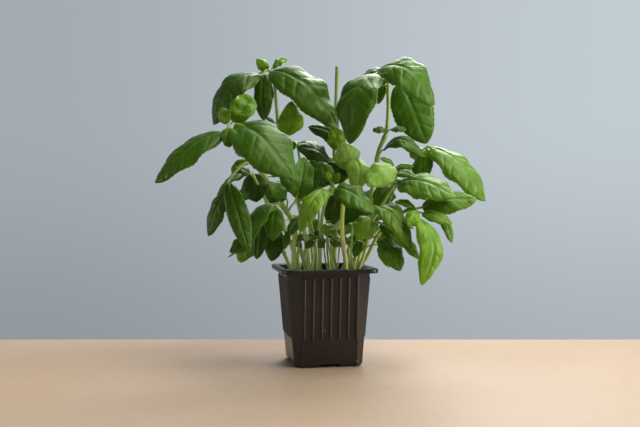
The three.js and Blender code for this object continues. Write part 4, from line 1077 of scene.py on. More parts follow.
def pot_mesh(props):
    """The pot, its walls pushed out where the ribs are and its foot raised in an arch a side."""
    stations = pot_profile(props)
    template, ring, flat, outward, run = lofted(stations, POT_AROUND)
    z = stations[ring, 3]
    pitch, width = props.rib_pitch / MM, props.rib_width / MM
    last = (props.ribs - 1) / 2
    nearest = np.abs((run / pitch + last + 0.5) % 1 - 0.5) * pitch
    ridge = 1 - smoothstep(0.16 * width, 0.5 * width, nearest)
    in_row = 1 - smoothstep(0, 0.3, np.abs(run) - last * pitch - 0.6 * width)
    rise = smoothstep(*RIB_FEET, z) * (1 - smoothstep(*RIB_TOPS, z))
    walls = (ring >= UNDERSIDE_RINGS) & (z < RIB_TOPS[1] + 1)
    relief = props.rib_relief / MM * ridge * in_row * rise * walls
    inner = [props.pot_foot / MM - reach for reach in FEET_ARCH_INNER]
    arch = (1 - smoothstep(*FEET_ARCH, np.abs(run))) * smoothstep(*inner, stations[ring, 0])
    z = z + FEET_ARCH_HEIGHT * arch * np.clip(1 - z / (FEET_ARCH_HEIGHT * 1.4), 0, 1)
    gather = Gather()
    gather.add(
        template,
        yawed(flat + outward * relief[:, None], z),
        pot_at=np.stack([run, z, relief], axis=1),
    )
    return gather


def cut_drain_slots(pot, props):
    """A slot with rounded ends, above the floor in the middle of the left and the right side."""
    bm = bmesh.new()
    for side in (-1, 1):
        made = bmesh.ops.create_cube(bm, size=1)["verts"]
        bmesh.ops.scale(bm, verts=made, vec=DRAIN_SLOT)
        reach = side * PotWall(props).half(DRAIN_SLOT_Z)
        bmesh.ops.translate(bm, verts=made, vec=(reach, 0, DRAIN_SLOT_Z))
    long_edges = [edge for edge in bm.edges if abs(edge.verts[0].co.x - edge.verts[1].co.x) > 1]
    bmesh.ops.bevel(
        bm, geom=long_edges, offset=DRAIN_SLOT_ROUNDING, offset_type="OFFSET", segments=4,
        profile=0.5, affect="EDGES", material=-1,
    )
    bmesh.ops.rotate(bm, verts=bm.verts, cent=(0, 0, 0), matrix=Matrix.Rotation(POT_YAW, 3, "Z"))
    bmesh.ops.scale(bm, verts=bm.verts, vec=(MM, MM, MM))
    cutter = linked("slots", bm)
    cut = pot.modifiers.new("slots", "BOOLEAN")
    cut.operation = "DIFFERENCE"
    cut.solver = "EXACT"
    cut.object = cutter
    bake_modifiers(pot)
    bpy.data.objects.remove(cutter)


def bake_modifiers(piece):
    """Gives a piece the mesh that its modifiers make."""
    depsgraph = bpy.context.evaluated_depsgraph_get()
    made = bpy.data.meshes.new_from_object(piece.evaluated_get(depsgraph))
    piece.modifiers.clear()
    piece.data = made


def soil_height(x, y, props):
    lump = np.sin(x * 0.31 + 1) * np.cos(y * 0.27) + 0.6 * np.sin(x * 0.13 - y * 0.41)
    return SOIL_TOP + props.soil_lump / MM * (0.6 * lump + 0.5 * ripples(x, y, 5, 6.0))


def make_soil(props):
    """A block of peat that fills the pot, lumpy on top, with loose crumbs."""
    pot = PotWall(props)
    inset = pot.wall + SOIL_GAP
    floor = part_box("soil")[0].z / MM
    stations = [rounded(half, half * 0.3, floor) for half in (1, 10, 20)]
    stations += [pot.at(floor, inset + 0.2), pot.at(floor + 1, inset)]
    stations += [pot.at(z, inset) for z in SOIL_RINGS]
    sides = len(stations)
    widest = np.array(pot.at(SOIL_RINGS[-1], inset + 0.3)[:3])
    shares = np.linspace(0.99, 0.02, SURFACE_RINGS)
    stations = np.array(stations + [(*(widest * share), SOIL_TOP) for share in shares])
    template, ring, flat, _, _ = lofted(stations, SOIL_AROUND)
    places = yawed(flat, stations[ring, 3])
    surface = ring >= sides
    x, y = places[surface, 0], places[surface, 1]
    fine = 0.35 * ripples(x, y, 9, 2.6) + 0.25 * ripples(x, y, 21, 1.6)
    places[surface, 2] = soil_height(x, y, props) + fine
    gather = Gather()
    gather.add(template, places, soil_is=np.zeros((len(ring), 3)))
    scatter_crumbs(gather, pot, props)
    return gather.finish("soil_crumbs", soil_finish(props), "soil", "soil")


def scatter_crumbs(gather, pot, props):
    """Loose crumbs of peat, a few pale grains and short fibres on the soil's surface."""
    draw = draws(CRUMB_SEED)
    half, corner = pot.at(SOIL_TOP, pot.wall + SOIL_GAP + CRUMB_MARGIN)[:2]
    crumb, fibre = crumb_template(), tube_template(4, 3)
    for number in range(props.crumbs):
        x, y = (2 * next(draw) - 1) * half, (2 * next(draw) - 1) * half
        if abs(x) + abs(y) > 2 * half - corner:
            x, y = x * 0.6, y * 0.6
        x, y, _ = yawed(np.array([[x, y]]), [0])[0]
        size = LEAST_CRUMB + CRUMB_GROWTH * next(draw) ** 3
        turn = next(draw) * math.tau
        pale = 1.0 if next(draw) < PALE_SHARE else 0.0
        if number % FIBRE_EVERY == 0:
            shape = fibre
            scale = (FIBRE_GIRTH, FIBRE_GIRTH, FIBRE_LENGTH + 5 * next(draw))
            tilt = FIBRE_TILT + 0.25 * next(draw)
        else:
            shape = crumb
            scale = (size, size * (0.6 + 0.4 * next(draw)), size * (0.5 + 0.4 * next(draw)))
            tilt = next(draw)
        places = shape[0] * scale
        places[:, [2, 0]] = turned(places[:, [2, 0]], tilt)
        places[:, :2] = turned(places[:, :2], turn)
        places += (x, y, soil_height(x, y, props) + CRUMB_RISE * size)
        kind = np.zeros((len(places), 3)) + (pale, next(draw), 0.0)
        gather.add(shape, places, soil_is=kind)


# ---------------------------------------------------------------- finishes


class Tree:
    """Adds nodes to a node tree. A value for an input may be a number, a colour or an output."""

    def __init__(self, tree):
        self.tree = tree
        tree.nodes.clear()

    def feed(self, socket, value):
        if isinstance(value, bpy.types.NodeSocket):
            self.tree.links.new(value, socket)
        else:
            socket.default_value = value

    def add(self, kind, inputs=(), **settings):
        node = self.tree.nodes.new(kind)
        for key, value in settings.items():
            setattr(node, key, value)
        for key, value in dict(inputs).items():
            self.feed(node.inputs[key], value)
        return node

    def math(self, operation, a, b=0.0):
        return self.add("ShaderNodeMath", {0: a, 1: b}, operation=operation).outputs[0]

    def times(self, a, b):
        return self.math("MULTIPLY", a, b)

    def plus(self, a, b):
        return self.math("ADD", a, b)

    def minus(self, a, b):
        return self.math("SUBTRACT", a, b)

    def blend(self, factor, a, b):
        inputs = {0: factor, 6: a, 7: b}
        return self.add("ShaderNodeMix", inputs, data_type="RGBA").outputs[2]

    def range(self, value, low, high, to_low=0.0, to_high=1.0):
        inputs = {0: value, 1: low, 2: high, 3: to_low, 4: to_high}
        kind = "SMOOTHSTEP"
        return self.add("ShaderNodeMapRange", inputs, interpolation_type=kind).outputs[0]

    def noise(self, vector, scale, detail=2.0, roughness=0.5):
        inputs = {"Vector": vector, "Scale": scale, "Detail": detail, "Roughness": roughness}
        return self.add("ShaderNodeTexNoise", inputs).outputs["Fac"]

    def cells(self, vector, scale, feature="DISTANCE_TO_EDGE"):
        inputs = {"Vector": vector, "Scale": scale}
        return self.add("ShaderNodeTexVoronoi", inputs, feature=feature).outputs["Distance"]

    def parts(self, vector):
        return self.add("ShaderNodeSeparateXYZ", {0: vector}).outputs

    def ramp(self, factor, stops):
        """A colour by factor, from (place, colour) stops in order."""
        node = self.add("ShaderNodeValToRGB", {0: factor})
        elements = node.color_ramp.elements
        elements[0].color, elements[1].color = rgba(stops[0][1]), rgba(stops[-1][1])
        for place, colour in stops[1:-1]:
            elements.new(place).color = rgba(colour)
        return node.outputs[0]

    def marks(self, name):
        """The three values that a piece's vertices hold under this name."""
        return self.parts(self.add("ShaderNodeAttribute", attribute_name=name).outputs["Vector"])

    def place(self):
        return self.add("ShaderNodeTexCoord").outputs["Object"]


def group(name, inputs, outputs, build):
    """A shared effect, built once: build(tree, inputs) gives its outputs by name. Each input is
    given as a number, its default, or as the kind of its socket."""
    if name in bpy.data.node_groups:
        return bpy.data.node_groups[name]
    made = bpy.data.node_groups.new(name, "ShaderNodeTree")
    for key, default in inputs.items():
        is_number = isinstance(default, float)
        kind = "NodeSocket" + ("Float" if is_number else default)
        socket = made.interface.new_socket(name=key, in_out="INPUT", socket_type=kind)
        if is_number:
            socket.default_value = default
    for key, kind in outputs.items():
        made.interface.new_socket(name=key, in_out="OUTPUT", socket_type="NodeSocket" + kind)
    tree = Tree(made)
    tree.add("NodeGroupOutput", build(tree, tree.add("NodeGroupInput").outputs))
    return made


def use(tree, made, **values):
    """Places a group in a material's tree, with its own values."""
    node = tree.add("ShaderNodeGroup", node_tree=made)
    for key, value in values.items():
        tree.feed(node.inputs[key.replace("_", " ")], value)
    return node.outputs


def veins_group():
    """Where a blade's midrib, side veins and the fine net between them run, from 0 to 1."""

    def build(tree, entry):
        part = tree.math("FRACT", entry["Phase"])
        between = tree.math("ABSOLUTE", tree.minus(tree.times(part, 2.0), 1.0))
        thin = tree.range(entry["Reach"], 0.0, 1.0, 0.93, 0.975)
        side = tree.range(tree.minus(between, thin), -0.05, 0.02)
        side = tree.times(side, tree.range(entry["Reach"], 0.8, 0.97, 1.0, 0.0))
        taper = tree.range(entry["Along"], 0.0, 1.0, 0.95, 0.35)
        middle = tree.range(tree.math("DIVIDE", entry["Rib"], taper), 0.25, 0.85, 1.0, 0.0)
        net = tree.cells(entry["Vector"], entry["Net Scale"])
        return {
            "Main": tree.math("MAXIMUM", middle, tree.times(side, 0.75)),
            "Net": tree.range(net, 0.0, 0.09, 1.0, 0.0),
        }

    inputs = {
        "Vector": "Vector", "Along": 0.5, "Reach": 0.5, "Phase": 0.0, "Rib": 5.0,
        "Net Scale": 420.0,
    }
    return group("Blade veins", inputs, {"Main": "Float", "Net": "Float"}, build)


def mottle_group():
    """Uneven colour: a tint of the given colour, in soft patches of two sizes."""

    def build(tree, entry):
        large = tree.noise(entry["Vector"], entry["Scale"], 2.0)
        small = tree.noise(entry["Vector"], tree.times(entry["Scale"], 6.0), 3.0, 0.6)
        both = tree.plus(tree.times(large, 0.65), tree.times(small, 0.35))
        share = tree.times(tree.range(both, 0.35, 0.65), entry["Amount"])
        return {"Color": tree.blend(share, entry["Color"], entry["Patches"]), "Fac": both}

    inputs = {
        "Vector": "Vector", "Color": "Color", "Patches": "Color", "Scale": 60.0, "Amount": 0.4,
    }
    return group("Mottle", inputs, {"Color": "Color", "Fac": "Float"}, build)


def specks_group():
    """Scattered round specks, from 0 to 1, thinned out by a second, coarser pattern."""

    def build(tree, entry):
        size = entry["Size"]
        dots = tree.cells(entry["Vector"], entry["Scale"], "F1")
        dots = tree.range(dots, tree.times(size, 0.6), size, 1.0, 0.0)
        few = tree.noise(entry["Vector"], tree.times(entry["Scale"], 0.37), 1.0)
        return {"Fac": tree.times(dots, tree.range(few, entry["Rarity"], 1.0, 0.0, 2.5))}

    inputs = {"Vector": "Vector", "Scale": 200.0, "Size": 0.2, "Rarity": 0.6}
    return group("Specks", inputs, {"Fac": "Float"}, build)


def material(name, build):
    """A material built once: build(tree) gives the Principled shader's inputs."""
    if name in bpy.data.materials:
        return bpy.data.materials[name]
    made = bpy.data.materials.new(name)
    made.use_nodes = True
    tree = Tree(made.node_tree)
    shader = tree.add("ShaderNodeBsdfPrincipled", build(tree))
    tree.add("ShaderNodeOutputMaterial", {"Surface": shader.outputs[0]})
    return made


def bump(tree, height, distance, strength=1.0):
    inputs = {"Height": height, "Distance": distance, "Strength": strength}
    return tree.add("ShaderNodeBump", inputs).outputs[0]


def rgba(colour):
    return (*colour, 1.0)


HAIR_WHITE, CUT_HAIR_WHITE = (0.75, 0.8, 0.6, 1), (0.75, 0.78, 0.6, 1)
CUT_STREAK, CUT_END_BROWN = (0.2, 0.26, 0.07, 1), (0.2, 0.13, 0.05, 1)
# The first of these is painted light on the cut stems, partly their own pale colour.
CUT_PAINTED_LIGHT, CUT_GREEN = (0.74, 0.9, 0.22, 1), (0.14, 0.25, 0.035, 1)
PEAT_DAMP, PEAT_DARK = (0.085, 0.05, 0.028, 1), (0.012, 0.008, 0.005, 1)
PEAT_DUST, PEAT_GRAIN = (0.16, 0.11, 0.07, 1), (0.55, 0.53, 0.46, 1)
POT_PATCHES, POT_WARM = (0.023, 0.0165, 0.015, 1), (0.065, 0.013, 0.011, 1)
# Grey of the painted highlight on the ribs' crests.
RIB_PAINTED_HIGHLIGHT = (0.2, 0.185, 0.18, 1)
# Grey-blues of the painted reflection on the lip, on its front and on its top.
LIP_FRONT_PAINTED_REFLECTION, LIP_TOP_PAINTED_REFLECTION = (0.1, 0.15, 0.17, 1), (0.035, 0.042, 0.046, 1)
POT_DUST, POT_SPECK = (0.16, 0.13, 0.11, 1), (0.55, 0.52, 0.47, 1)
FLOOR_PALE = (0.7, 0.62, 0.52, 1)
# Heights between which a colour comes in: in millimetres on the pot, which marks its own heights,
# and in metres on the cut stems. On the ribs the painted highlight grows weaker towards the
# bottom; on the cut stems the first pair brings in painted light, partly the stems' own pale
# colour.
WARM_Z, LIP_Z, RIB_HIGHLIGHT_Z = (73.0, 82.0), (84.6, 85.4), (28.0, 66.0)
CUT_PAINTED_LIGHT_Z, CUT_GREEN_Z = (0.106, 0.118), (0.152, 0.17)


def leaf_finish(props):
    def build(tree):
        along, reach, phase = tree.marks("blade_at")
        tone, under, rib = tree.marks("blade_is")
        place = tree.place()
        veins = use(
            tree, veins_group(), Vector=place, Along=along, Reach=reach, Phase=phase, Rib=rib
        )
        # The top of this ramp is a painted sheen: pale, as if light shone off the leaf.
        toned = tree.ramp(tone, [
            (0, props.dark_green), (0.5, props.leaf_green),
            (0.86, props.young_green), (1, props.bloom_green),
        ])
        shaded = tree.blend(0.5, toned, rgba(props.dark_green))
        green = use(
            tree, mottle_group(), Vector=place, Color=toned, Patches=shaded, Scale=70.0,
            Amount=0.45,
        )
        vein, pale_green = rgba(props.vein_green), rgba(props.underside_green)
        paler = tree.blend(0.62, green["Color"], vein)
        top = tree.blend(tree.times(veins["Main"], 0.24), green["Color"], paler)
        top = tree.blend(tree.times(veins["Net"], 0.12), top, paler)
        below = tree.blend(0.55, green["Color"], pale_green)
        below = tree.blend(tree.times(veins["Main"], 0.7), below, vein)
        colour = tree.blend(under, top, below)
        colour = tree.blend(tree.range(reach, 0.93, 1.0, 0.0, 0.35), colour, paler)
        grain = tree.cells(place, 2600.0, "F1")
        height = tree.minus(tree.times(grain, 0.35), veins["Net"])
        height = tree.minus(height, tree.times(veins["Main"], 0.8))
        rough = tree.range(green["Fac"], 0.3, 0.7, 0.3, 0.42)
        return {
            "Base Color": colour,
            "Roughness": tree.plus(rough, tree.times(under, 0.2)),
            "Normal": bump(tree, height, 0.00012, 0.6),
            "Subsurface Weight": 0.5,
            "Subsurface Radius": (0.7, 1.0, 0.12),
            "Subsurface Scale": 0.001,
            "Specular IOR Level": 0.3,
            "Specular Tint": (0.9, 1.0, 0.62, 1.0),
        }

    return material("basil_leaf", build)


def streaks(tree, around, along, spiral, *noise):
    """Thin streaks along a stem, from the marks that its surface holds."""
    run, turn, _ = tree.marks("stem_at")
    swing = tree.times(tree.math("SINE", tree.times(turn, math.tau)), around)
    inputs = {0: swing, 1: tree.times(run, along), 2: tree.times(turn, spiral)}
    return tree.noise(tree.add("ShaderNodeCombineXYZ", inputs).outputs[0], *noise)


def stem_finish(props):
    def build(tree):
        age, _, hairy = tree.marks("stem_is")
        fibres = streaks(tree, 2.2, 0.05, 3.0, 4.0, 3.0, 0.6)
        aged = tree.ramp(age, [(0, props.pale_stem), (1, props.green_stem)])
        greener = tree.blend(0.35, aged, rgba(props.leaf_green))
        green = use(
            tree, mottle_group(), Vector=tree.place(), Color=aged, Patches=greener, Scale=110.0,
            Amount=0.4,
        )
        pale = tree.range(fibres, 0.4, 0.7, 0.0, 0.4)
        colour = tree.blend(pale, green["Color"], rgba(props.pale_stem))
        return {
            "Base Color": tree.blend(hairy, colour, HAIR_WHITE),
            "Roughness": tree.range(fibres, 0.3, 0.7, 0.36, 0.5),
            "Normal": bump(tree, fibres, 0.00025, 0.5),
            "Subsurface Weight": 0.35,
            "Subsurface Radius": (0.8, 1.0, 0.4),
            "Subsurface Scale": 0.0012,
            "Coat Weight": 0.1,
            "Coat Roughness": 0.3,
        }

    return material("basil_stem", build)


def cut_stem_finish(props):
    """Straw, pale where the short stem stands out, a painted light that is partly the stems' own
    colour, and green on the long one's upper part.
    """

    def build(tree):
        age, _, hairy = tree.marks("stem_is")
        place = tree.place()
        fibres = streaks(tree, 2.6, 0.03, 0.0, 5.0, 4.0, 0.65)
        straw = use(
            tree, mottle_group(), Vector=place, Color=rgba(props.straw_stem),
            Patches=rgba(props.pale_stem), Scale=90.0, Amount=0.6,
        )
        colour = tree.blend(tree.range(fibres, 0.45, 0.7, 0.0, 0.45), straw["Color"], CUT_STREAK)
        height = tree.parts(place)[2]
        # Painted light: above the short stem's joint the stems turn a bright pale green, partly
        # their own colour.
        colour = tree.blend(tree.range(height, *CUT_PAINTED_LIGHT_Z, 0.0, 0.7), colour, CUT_PAINTED_LIGHT)
        colour = tree.blend(tree.range(height, *CUT_GREEN_Z, 0.0, 0.85), colour, CUT_GREEN)
        colour = tree.blend(tree.range(age, 0.985, 1.0, 0.0, 0.8), colour, CUT_END_BROWN)
        return {
            "Base Color": tree.blend(hairy, colour, CUT_HAIR_WHITE),
            "Roughness": tree.range(fibres, 0.3, 0.7, 0.45, 0.62),
            "Normal": bump(tree, fibres, 0.0003, 0.6),
            "Subsurface Weight": 0.25,
            "Subsurface Radius": (1.0, 0.9, 0.4),
            "Subsurface Scale": 0.001,
        }

    return material("cut_stem", build)


def soil_finish(props):
    def build(tree):
        pale, tint, _ = tree.marks("soil_is")
        place = tree.place()
        damp = tree.blend(tint, rgba(props.soil_brown), PEAT_DAMP)
        peat = use(
            tree, mottle_group(), Vector=place, Color=damp, Patches=PEAT_DARK, Scale=220.0,
            Amount=0.75,
        )
        dust = use(tree, specks_group(), Vector=place, Scale=420.0, Size=0.22, Rarity=0.55)
        colour = tree.blend(dust["Fac"], peat["Color"], PEAT_DUST)
        return {
            "Base Color": tree.blend(pale, colour, PEAT_GRAIN),
            "Roughness": tree.range(peat["Fac"], 0.3, 0.7, 0.8, 1.0),
            "Normal": bump(tree, tree.noise(place, 900.0, 4.0, 0.65), 0.0009, 0.8),
            "Specular IOR Level": 0.25,
        }

    return material("peat_soil", build)


def pot_finish(props):
    """Dark plastic: warm under the lip, a painted grey-blue reflection on the lip, a painted
    highlight on the ribs' crests, with dust and specks.
    """

    def build(tree):
        _, z, relief = tree.marks("pot_at")
        place = tree.place()
        flow = tree.add("ShaderNodeMapping", {"Vector": place, "Scale": (1.0, 1.0, 0.06)})
        scuffs = tree.noise(flow.outputs[0], 900.0, 3.0, 0.7)
        plastic = use(
            tree, mottle_group(), Vector=place, Color=rgba(props.pot_brown), Patches=POT_PATCHES,
            Scale=35.0, Amount=0.5,
        )
        warm = tree.times(tree.range(z, *WARM_Z, 0.0, 0.75), tree.range(z, *LIP_Z, 1.0, 0.0))
        colour = tree.blend(warm, plastic["Color"], POT_WARM)
        # Painted highlight: the ribs' crests lightened, more near their tops, in place of the
        # light they would catch.
        rib_highlight = tree.times(tree.range(relief, 0.35, 0.85), tree.range(z, *RIB_HIGHLIGHT_Z, 0.12, 0.9))
        colour = tree.blend(rib_highlight, colour, RIB_PAINTED_HIGHLIGHT)
        upward = tree.parts(tree.add("ShaderNodeNewGeometry").outputs["Normal"])[2]
        # Painted reflection: the lip turns grey-blue, paler on its front than on its top, as if it
        # mirrored a bright window.
        lip = tree.blend(tree.range(upward, 0.2, 0.8), LIP_FRONT_PAINTED_REFLECTION, LIP_TOP_PAINTED_REFLECTION)
        colour = tree.blend(tree.range(z, *LIP_Z), colour, lip)
        powder = tree.range(tree.noise(place, 320.0, 4.0, 0.7), 0.42, 0.66, 0.0, 0.22)
        dust = tree.times(tree.range(upward, 0.3, 0.9), powder)
        colour = tree.blend(dust, colour, POT_DUST)
        specks = use(tree, specks_group(), Vector=place, Scale=130.0, Size=0.17, Rarity=0.6)
        rough = tree.plus(tree.range(scuffs, 0.3, 0.7, 0.24, 0.36), tree.times(dust, 0.35))
        peel = tree.noise(place, 1300.0, 2.0)
        height = tree.plus(tree.times(scuffs, 0.5), tree.times(peel, 0.6))
        return {
            "Base Color": tree.blend(specks["Fac"], colour, POT_SPECK),
            "Roughness": rough,
            "Normal": bump(tree, height, 0.00012, 0.55),
            "Specular IOR Level": 0.33,
        }

    return material("pot_plastic", build)


def floor_finish(props):
    def build(tree):
        place = tree.place()
        soft = tree.range(tree.noise(place, 3.0, 2.0), 0.3, 0.7, 0.0, 0.12)
        return {
            "Base Color": tree.blend(soft, rgba(props.floor_colour), FLOOR_PALE),
            "Roughness": tree.range(tree.noise(place, 90.0), 0.3, 0.7, 0.4, 0.5),
            "Specular IOR Level": 0.4,
        }

    return material("pale_floor", build)


# ---------------------------------------------------------------- settings


def plain(name, description, default, **more):
    return bpy.props.FloatProperty(name=name, description=description, default=default, **more)


def whole(name, description, default, least):
    return bpy.props.IntProperty(name=name, description=description, default=default, min=least)


def millimetres(name, description, default):
    return plain(name, description, default * MM, unit="LENGTH", precision=5)


def colour(name, description, default):
    return bpy.props.FloatVectorProperty(
        name=name, description=description, default=default, subtype="COLOR", size=3, min=0, max=1
    )


class BasilLeafProps(bpy.types.PropertyGroup):
    """Leaves: their form and their greens."""

    blade_thickness: millimetres("Blade thickness", "How thick a leaf's blade is", 0.36)
    vein_pairs: plain("Vein pairs", "Pairs of side veins on a leaf 60 mm long", 5.5, min=2)
    puff: plain("Puff", "Height of the cushions as a share of the veins' spacing", 0.055, min=0)
    midrib_groove: millimetres("Midrib groove", "How far the midrib is sunk", 0.55)
    teeth_to_edge: plain("Teeth", "Teeth along each edge of a leaf 60 mm long", 12, min=1)
    tooth_depth: plain("Tooth depth", "Depth of the teeth as a share of half the blade", 0.045)
    dark_green: colour("Dark green", "Colour of the darkest leaves", (0.009, 0.034, 0.001))
    leaf_green: colour("Leaf green", "Colour of a grown leaf", (0.052, 0.148, 0.003))
    young_green: colour("Young green", "Colour of the brightest young leaves", (0.19, 0.37, 0.016))
    # Bloom is a painted sheen: the pale colour of the brightest leaves, in place of light shining
    # off them.
    bloom_green: colour("Bloom", "Colour of young leaves with a pale bloom", (0.23, 0.4, 0.075))
    vein_green: colour("Vein green", "Colour of veins", (0.22, 0.38, 0.05))
    underside_green: colour("Underside", "Colour of the leaves' undersides", (0.12, 0.25, 0.03))


class BasilStemProps(bpy.types.PropertyGroup):
    """Stems, stalks and hairs."""

    stem_sides: whole("Sides", "Facets round a stem", 16, 8)
    hair_length: millimetres("Hair length", "Length of the fine hairs on stems", 0.7)
    hairs_per_mm: plain("Hairs", "Hairs to a millimetre of stem", 1.0, min=0)
    pale_stem: colour("Pale stem", "Colour of a stem near the soil", (0.56, 0.66, 0.2))
    green_stem: colour("Green stem", "Colour of stalks and stem tops", (0.2, 0.37, 0.035))
    straw_stem: colour("Straw stem", "Colour of the cut stems", (0.56, 0.56, 0.21))


class BasilPotProps(bpy.types.PropertyGroup):
    """The nursery pot and its soil."""

    pot_height: millimetres("Height", "Height of the pot", 89)
    pot_foot: millimetres("Foot", "Half the pot's width at its foot", 31.1)
    pot_top: millimetres("Top", "Half the pot's width at its top", 39)
    pot_flat: millimetres("Flat", "Half the flat part of each side", 25.5)
    pot_wall: millimetres("Wall", "Thickness of the pot's wall", 1.0)
    flange: millimetres("Flange", "Half the rim's width", 43.9)
    lip_drop: millimetres("Lip", "How far the rim's lip hangs", 3.8)
    ribs: whole("Ribs", "Ribs on each side", 7, 1)
    rib_pitch: millimetres("Rib pitch", "From one rib to the next", 8)
    rib_width: millimetres("Rib width", "Width of a rib at the wall", 2.8)
    rib_relief: millimetres("Rib relief", "How far a rib stands out", 0.9)
    soil_lump: millimetres("Soil lumps", "Height of the soil's unevenness", 1.6)
    crumbs: whole("Crumbs", "Loose crumbs on the soil", 900, 0)
    pot_brown: colour("Pot colour", "Dark brown of the plastic", (0.013, 0.0098, 0.0092))
    soil_brown: colour("Soil colour", "Brown of the damp peat", (0.035, 0.021, 0.013))


class BasilStageProps(bpy.types.PropertyGroup):
    """Floor, light and camera."""

    floor_colour: colour("Floor", "Colour of the plain floor", (0.41, 0.29, 0.187))
    air_left: colour("Left surroundings", "Colour behind it on the left", (0.37, 0.41, 0.44))
    air_right: colour("Right surroundings", "Colour behind it on the right", (0.54, 0.6, 0.65))
    air_light: colour("Soft light", "Light from all round", (0.11, 0.112, 0.115))
    key_power: plain("Key light", "Power of the large soft light", 25, unit="POWER")
    fill_power: plain("Fill light", "Power of the weak front light", 1.8, unit="POWER")
    window_power: plain("Side light", "Power of the low light from the right", 18, unit="POWER")
    top_power: plain("Back light", "Power of the light above and behind", 25, unit="POWER")
    lens: plain("Lens", "Focal length, on a sensor 36 mm wide", 50.6, unit="CAMERA")
    camera_pitch: plain(
        "Pitch", "How far the camera looks down", math.radians(0.987), subtype="ANGLE",
        unit="ROTATION",
    )


# ---------------------------------------------------------------- stage and operators

# The stage, in metres.
FLOOR_ACROSS, FLOOR_REACH, FLOOR_BACK, FLOOR_THICKNESS = 2.2, 1.5, 0.13, 0.02
AIM = Vector((0, 0, 0.16))
# The camera's sensor, in millimetres.
SENSOR_WIDTH = 36
FAR_WINDOW_SHARE = 0.25


def lay_floor(props):
    """A plain slab, most of it before the plant."""
    bm = bmesh.new()
    bmesh.ops.create_grid(bm, x_segments=1, y_segments=1, size=1)
    bmesh.ops.scale(bm, verts=bm.verts, vec=(FLOOR_ACROSS, FLOOR_REACH, 1))
    bmesh.ops.translate(bm, verts=bm.verts, vec=(0, FLOOR_BACK - FLOOR_REACH, 0))
    slab = bmesh.ops.extrude_face_region(bm, geom=bm.faces[:])["geom"]
    low = [item for item in slab if isinstance(item, bmesh.types.BMVert)]
    bmesh.ops.translate(bm, verts=low, vec=(0, 0, -FLOOR_THICKNESS))
    bmesh.ops.recalc_face_normals(bm, faces=bm.faces)
    floor = linked("floor", bm)
    floor.data.materials.append(floor_finish(props))


def fill_air(props):
    """What shows behind the plant, paler to the right, and a faint even light from all round."""
    world = bpy.data.worlds.new("air")
    world.use_nodes = True
    tree = Tree(world.node_tree)
    across, behind, up = tree.parts(tree.add("ShaderNodeTexCoord").outputs["Generated"])
    shown = tree.blend(
        tree.range(across, -0.34, 0.34), rgba(props.air_left), rgba(props.air_right)
    )
    inputs = {"Color": shown, "Strength": tree.range(up, -0.2, 0.1, 0.75, 1.0)}
    shown = tree.add("ShaderNodeBackground", inputs).outputs[0]
    lit = tree.add("ShaderNodeBackground", {"Color": rgba(props.air_light)}).outputs[0]
    ray = tree.add("ShaderNodeLightPath").outputs
    mirrored = tree.times(ray["Is Glossy Ray"], tree.range(behind, 0.3, 0.8, 0.0, 0.75))
    looked_at = tree.math("MAXIMUM", ray["Is Camera Ray"], mirrored)
    air = tree.add("ShaderNodeMixShader", {0: looked_at, 1: lit, 2: shown})
    tree.add("ShaderNodeOutputWorld", {"Surface": air.outputs[0]})
    bpy.context.scene.world = world


def soft_light(name, place, size, power, tint=(1, 1, 1)):
    """A round lamp that faces the plant."""
    lamp = bpy.data.lights.new(name, "AREA")
    lamp.shape, lamp.size, lamp.energy, lamp.color = "DISK", size, power, tint
    piece = bpy.data.objects.new(name, lamp)
    piece.location = place
    piece.rotation_euler = (AIM - Vector(place)).to_track_quat("-Z", "Y").to_euler()
    bpy.context.scene.collection.objects.link(piece)


def hang_lights(props):
    soft_light("key", (0.8, -0.4, 1.4), 1.2, props.key_power, (1, 0.98, 0.95))
    soft_light("fill", (0.2, -1.6, 0.5), 1.4, props.fill_power, (0.95, 0.98, 1))
    soft_light("top", (0.3, 0.9, 1.2), 1.0, props.top_power)
    soft_light("window", (1.5, -0.25, 0.25), 0.8, props.window_power)
    far_power = props.window_power * FAR_WINDOW_SHARE
    soft_light("far_window", (-1.5, -0.1, 0.3), 0.6, far_power)


def set_camera(props):
    scene = bpy.context.scene
    camera = bpy.data.objects.new("camera", bpy.data.cameras.new("camera"))
    camera.location = VIEWPOINT * MM
    camera.rotation_euler = (math.pi / 2 - props.camera_pitch, 0, 0)
    camera.data.lens = props.lens
    camera.data.sensor_width = SENSOR_WIDTH
    scene.collection.objects.link(camera)
    scene.camera = camera
    scene.view_settings.view_transform = "Standard"


class BASIL_OT_stage(bpy.types.Operator):
    """Sets the plain floor, the soft lights and the camera"""

    bl_idname = "basil.stage"
    bl_label = "Stage"

    def execute(self, context):
        props = context.scene.basil_stage
        lay_floor(props)
        fill_air(props)
        hang_lights(props)
        set_camera(props)
        return {"FINISHED"}


class BASIL_OT_pot(bpy.types.Operator):
    """Makes the square, ribbed nursery pot"""

    bl_idname = "basil.pot"
    bl_label = "Pot"

    def execute(self, context):
        props = context.scene.basil_pot
        pot = pot_mesh(props).finish("nursery_pot", pot_finish(props), "pot", "pot")
        cut_drain_slots(pot, props)
        return {"FINISHED"}


class BASIL_OT_soil(bpy.types.Operator):
    """Fills the pot with crumbly soil"""

    bl_idname = "basil.soil"
    bl_label = "Soil"

    def execute(self, context):
        make_soil(context.scene.basil_pot)
        return {"FINISHED"}


class PlantProps:
    """The leaf and stem settings together."""

    def __init__(self, scene):
        self.groups = (scene.basil_leaf, scene.basil_stem)

    def __getattr__(self, name):
        for settings in self.groups:
            if hasattr(settings, name):
                return getattr(settings, name)
        raise AttributeError(name)


def grow_all(context, rows, shaped, seeds):
    """Grows each row of a table: shaped(number, row) gives its axes and leaves."""
    props = PlantProps(context.scene)
    for number, (name, row) in enumerate(rows.items()):
        grown_shoot(name, shaped(number, row), seed_of(seeds, number), props)
    return {"FINISHED"}


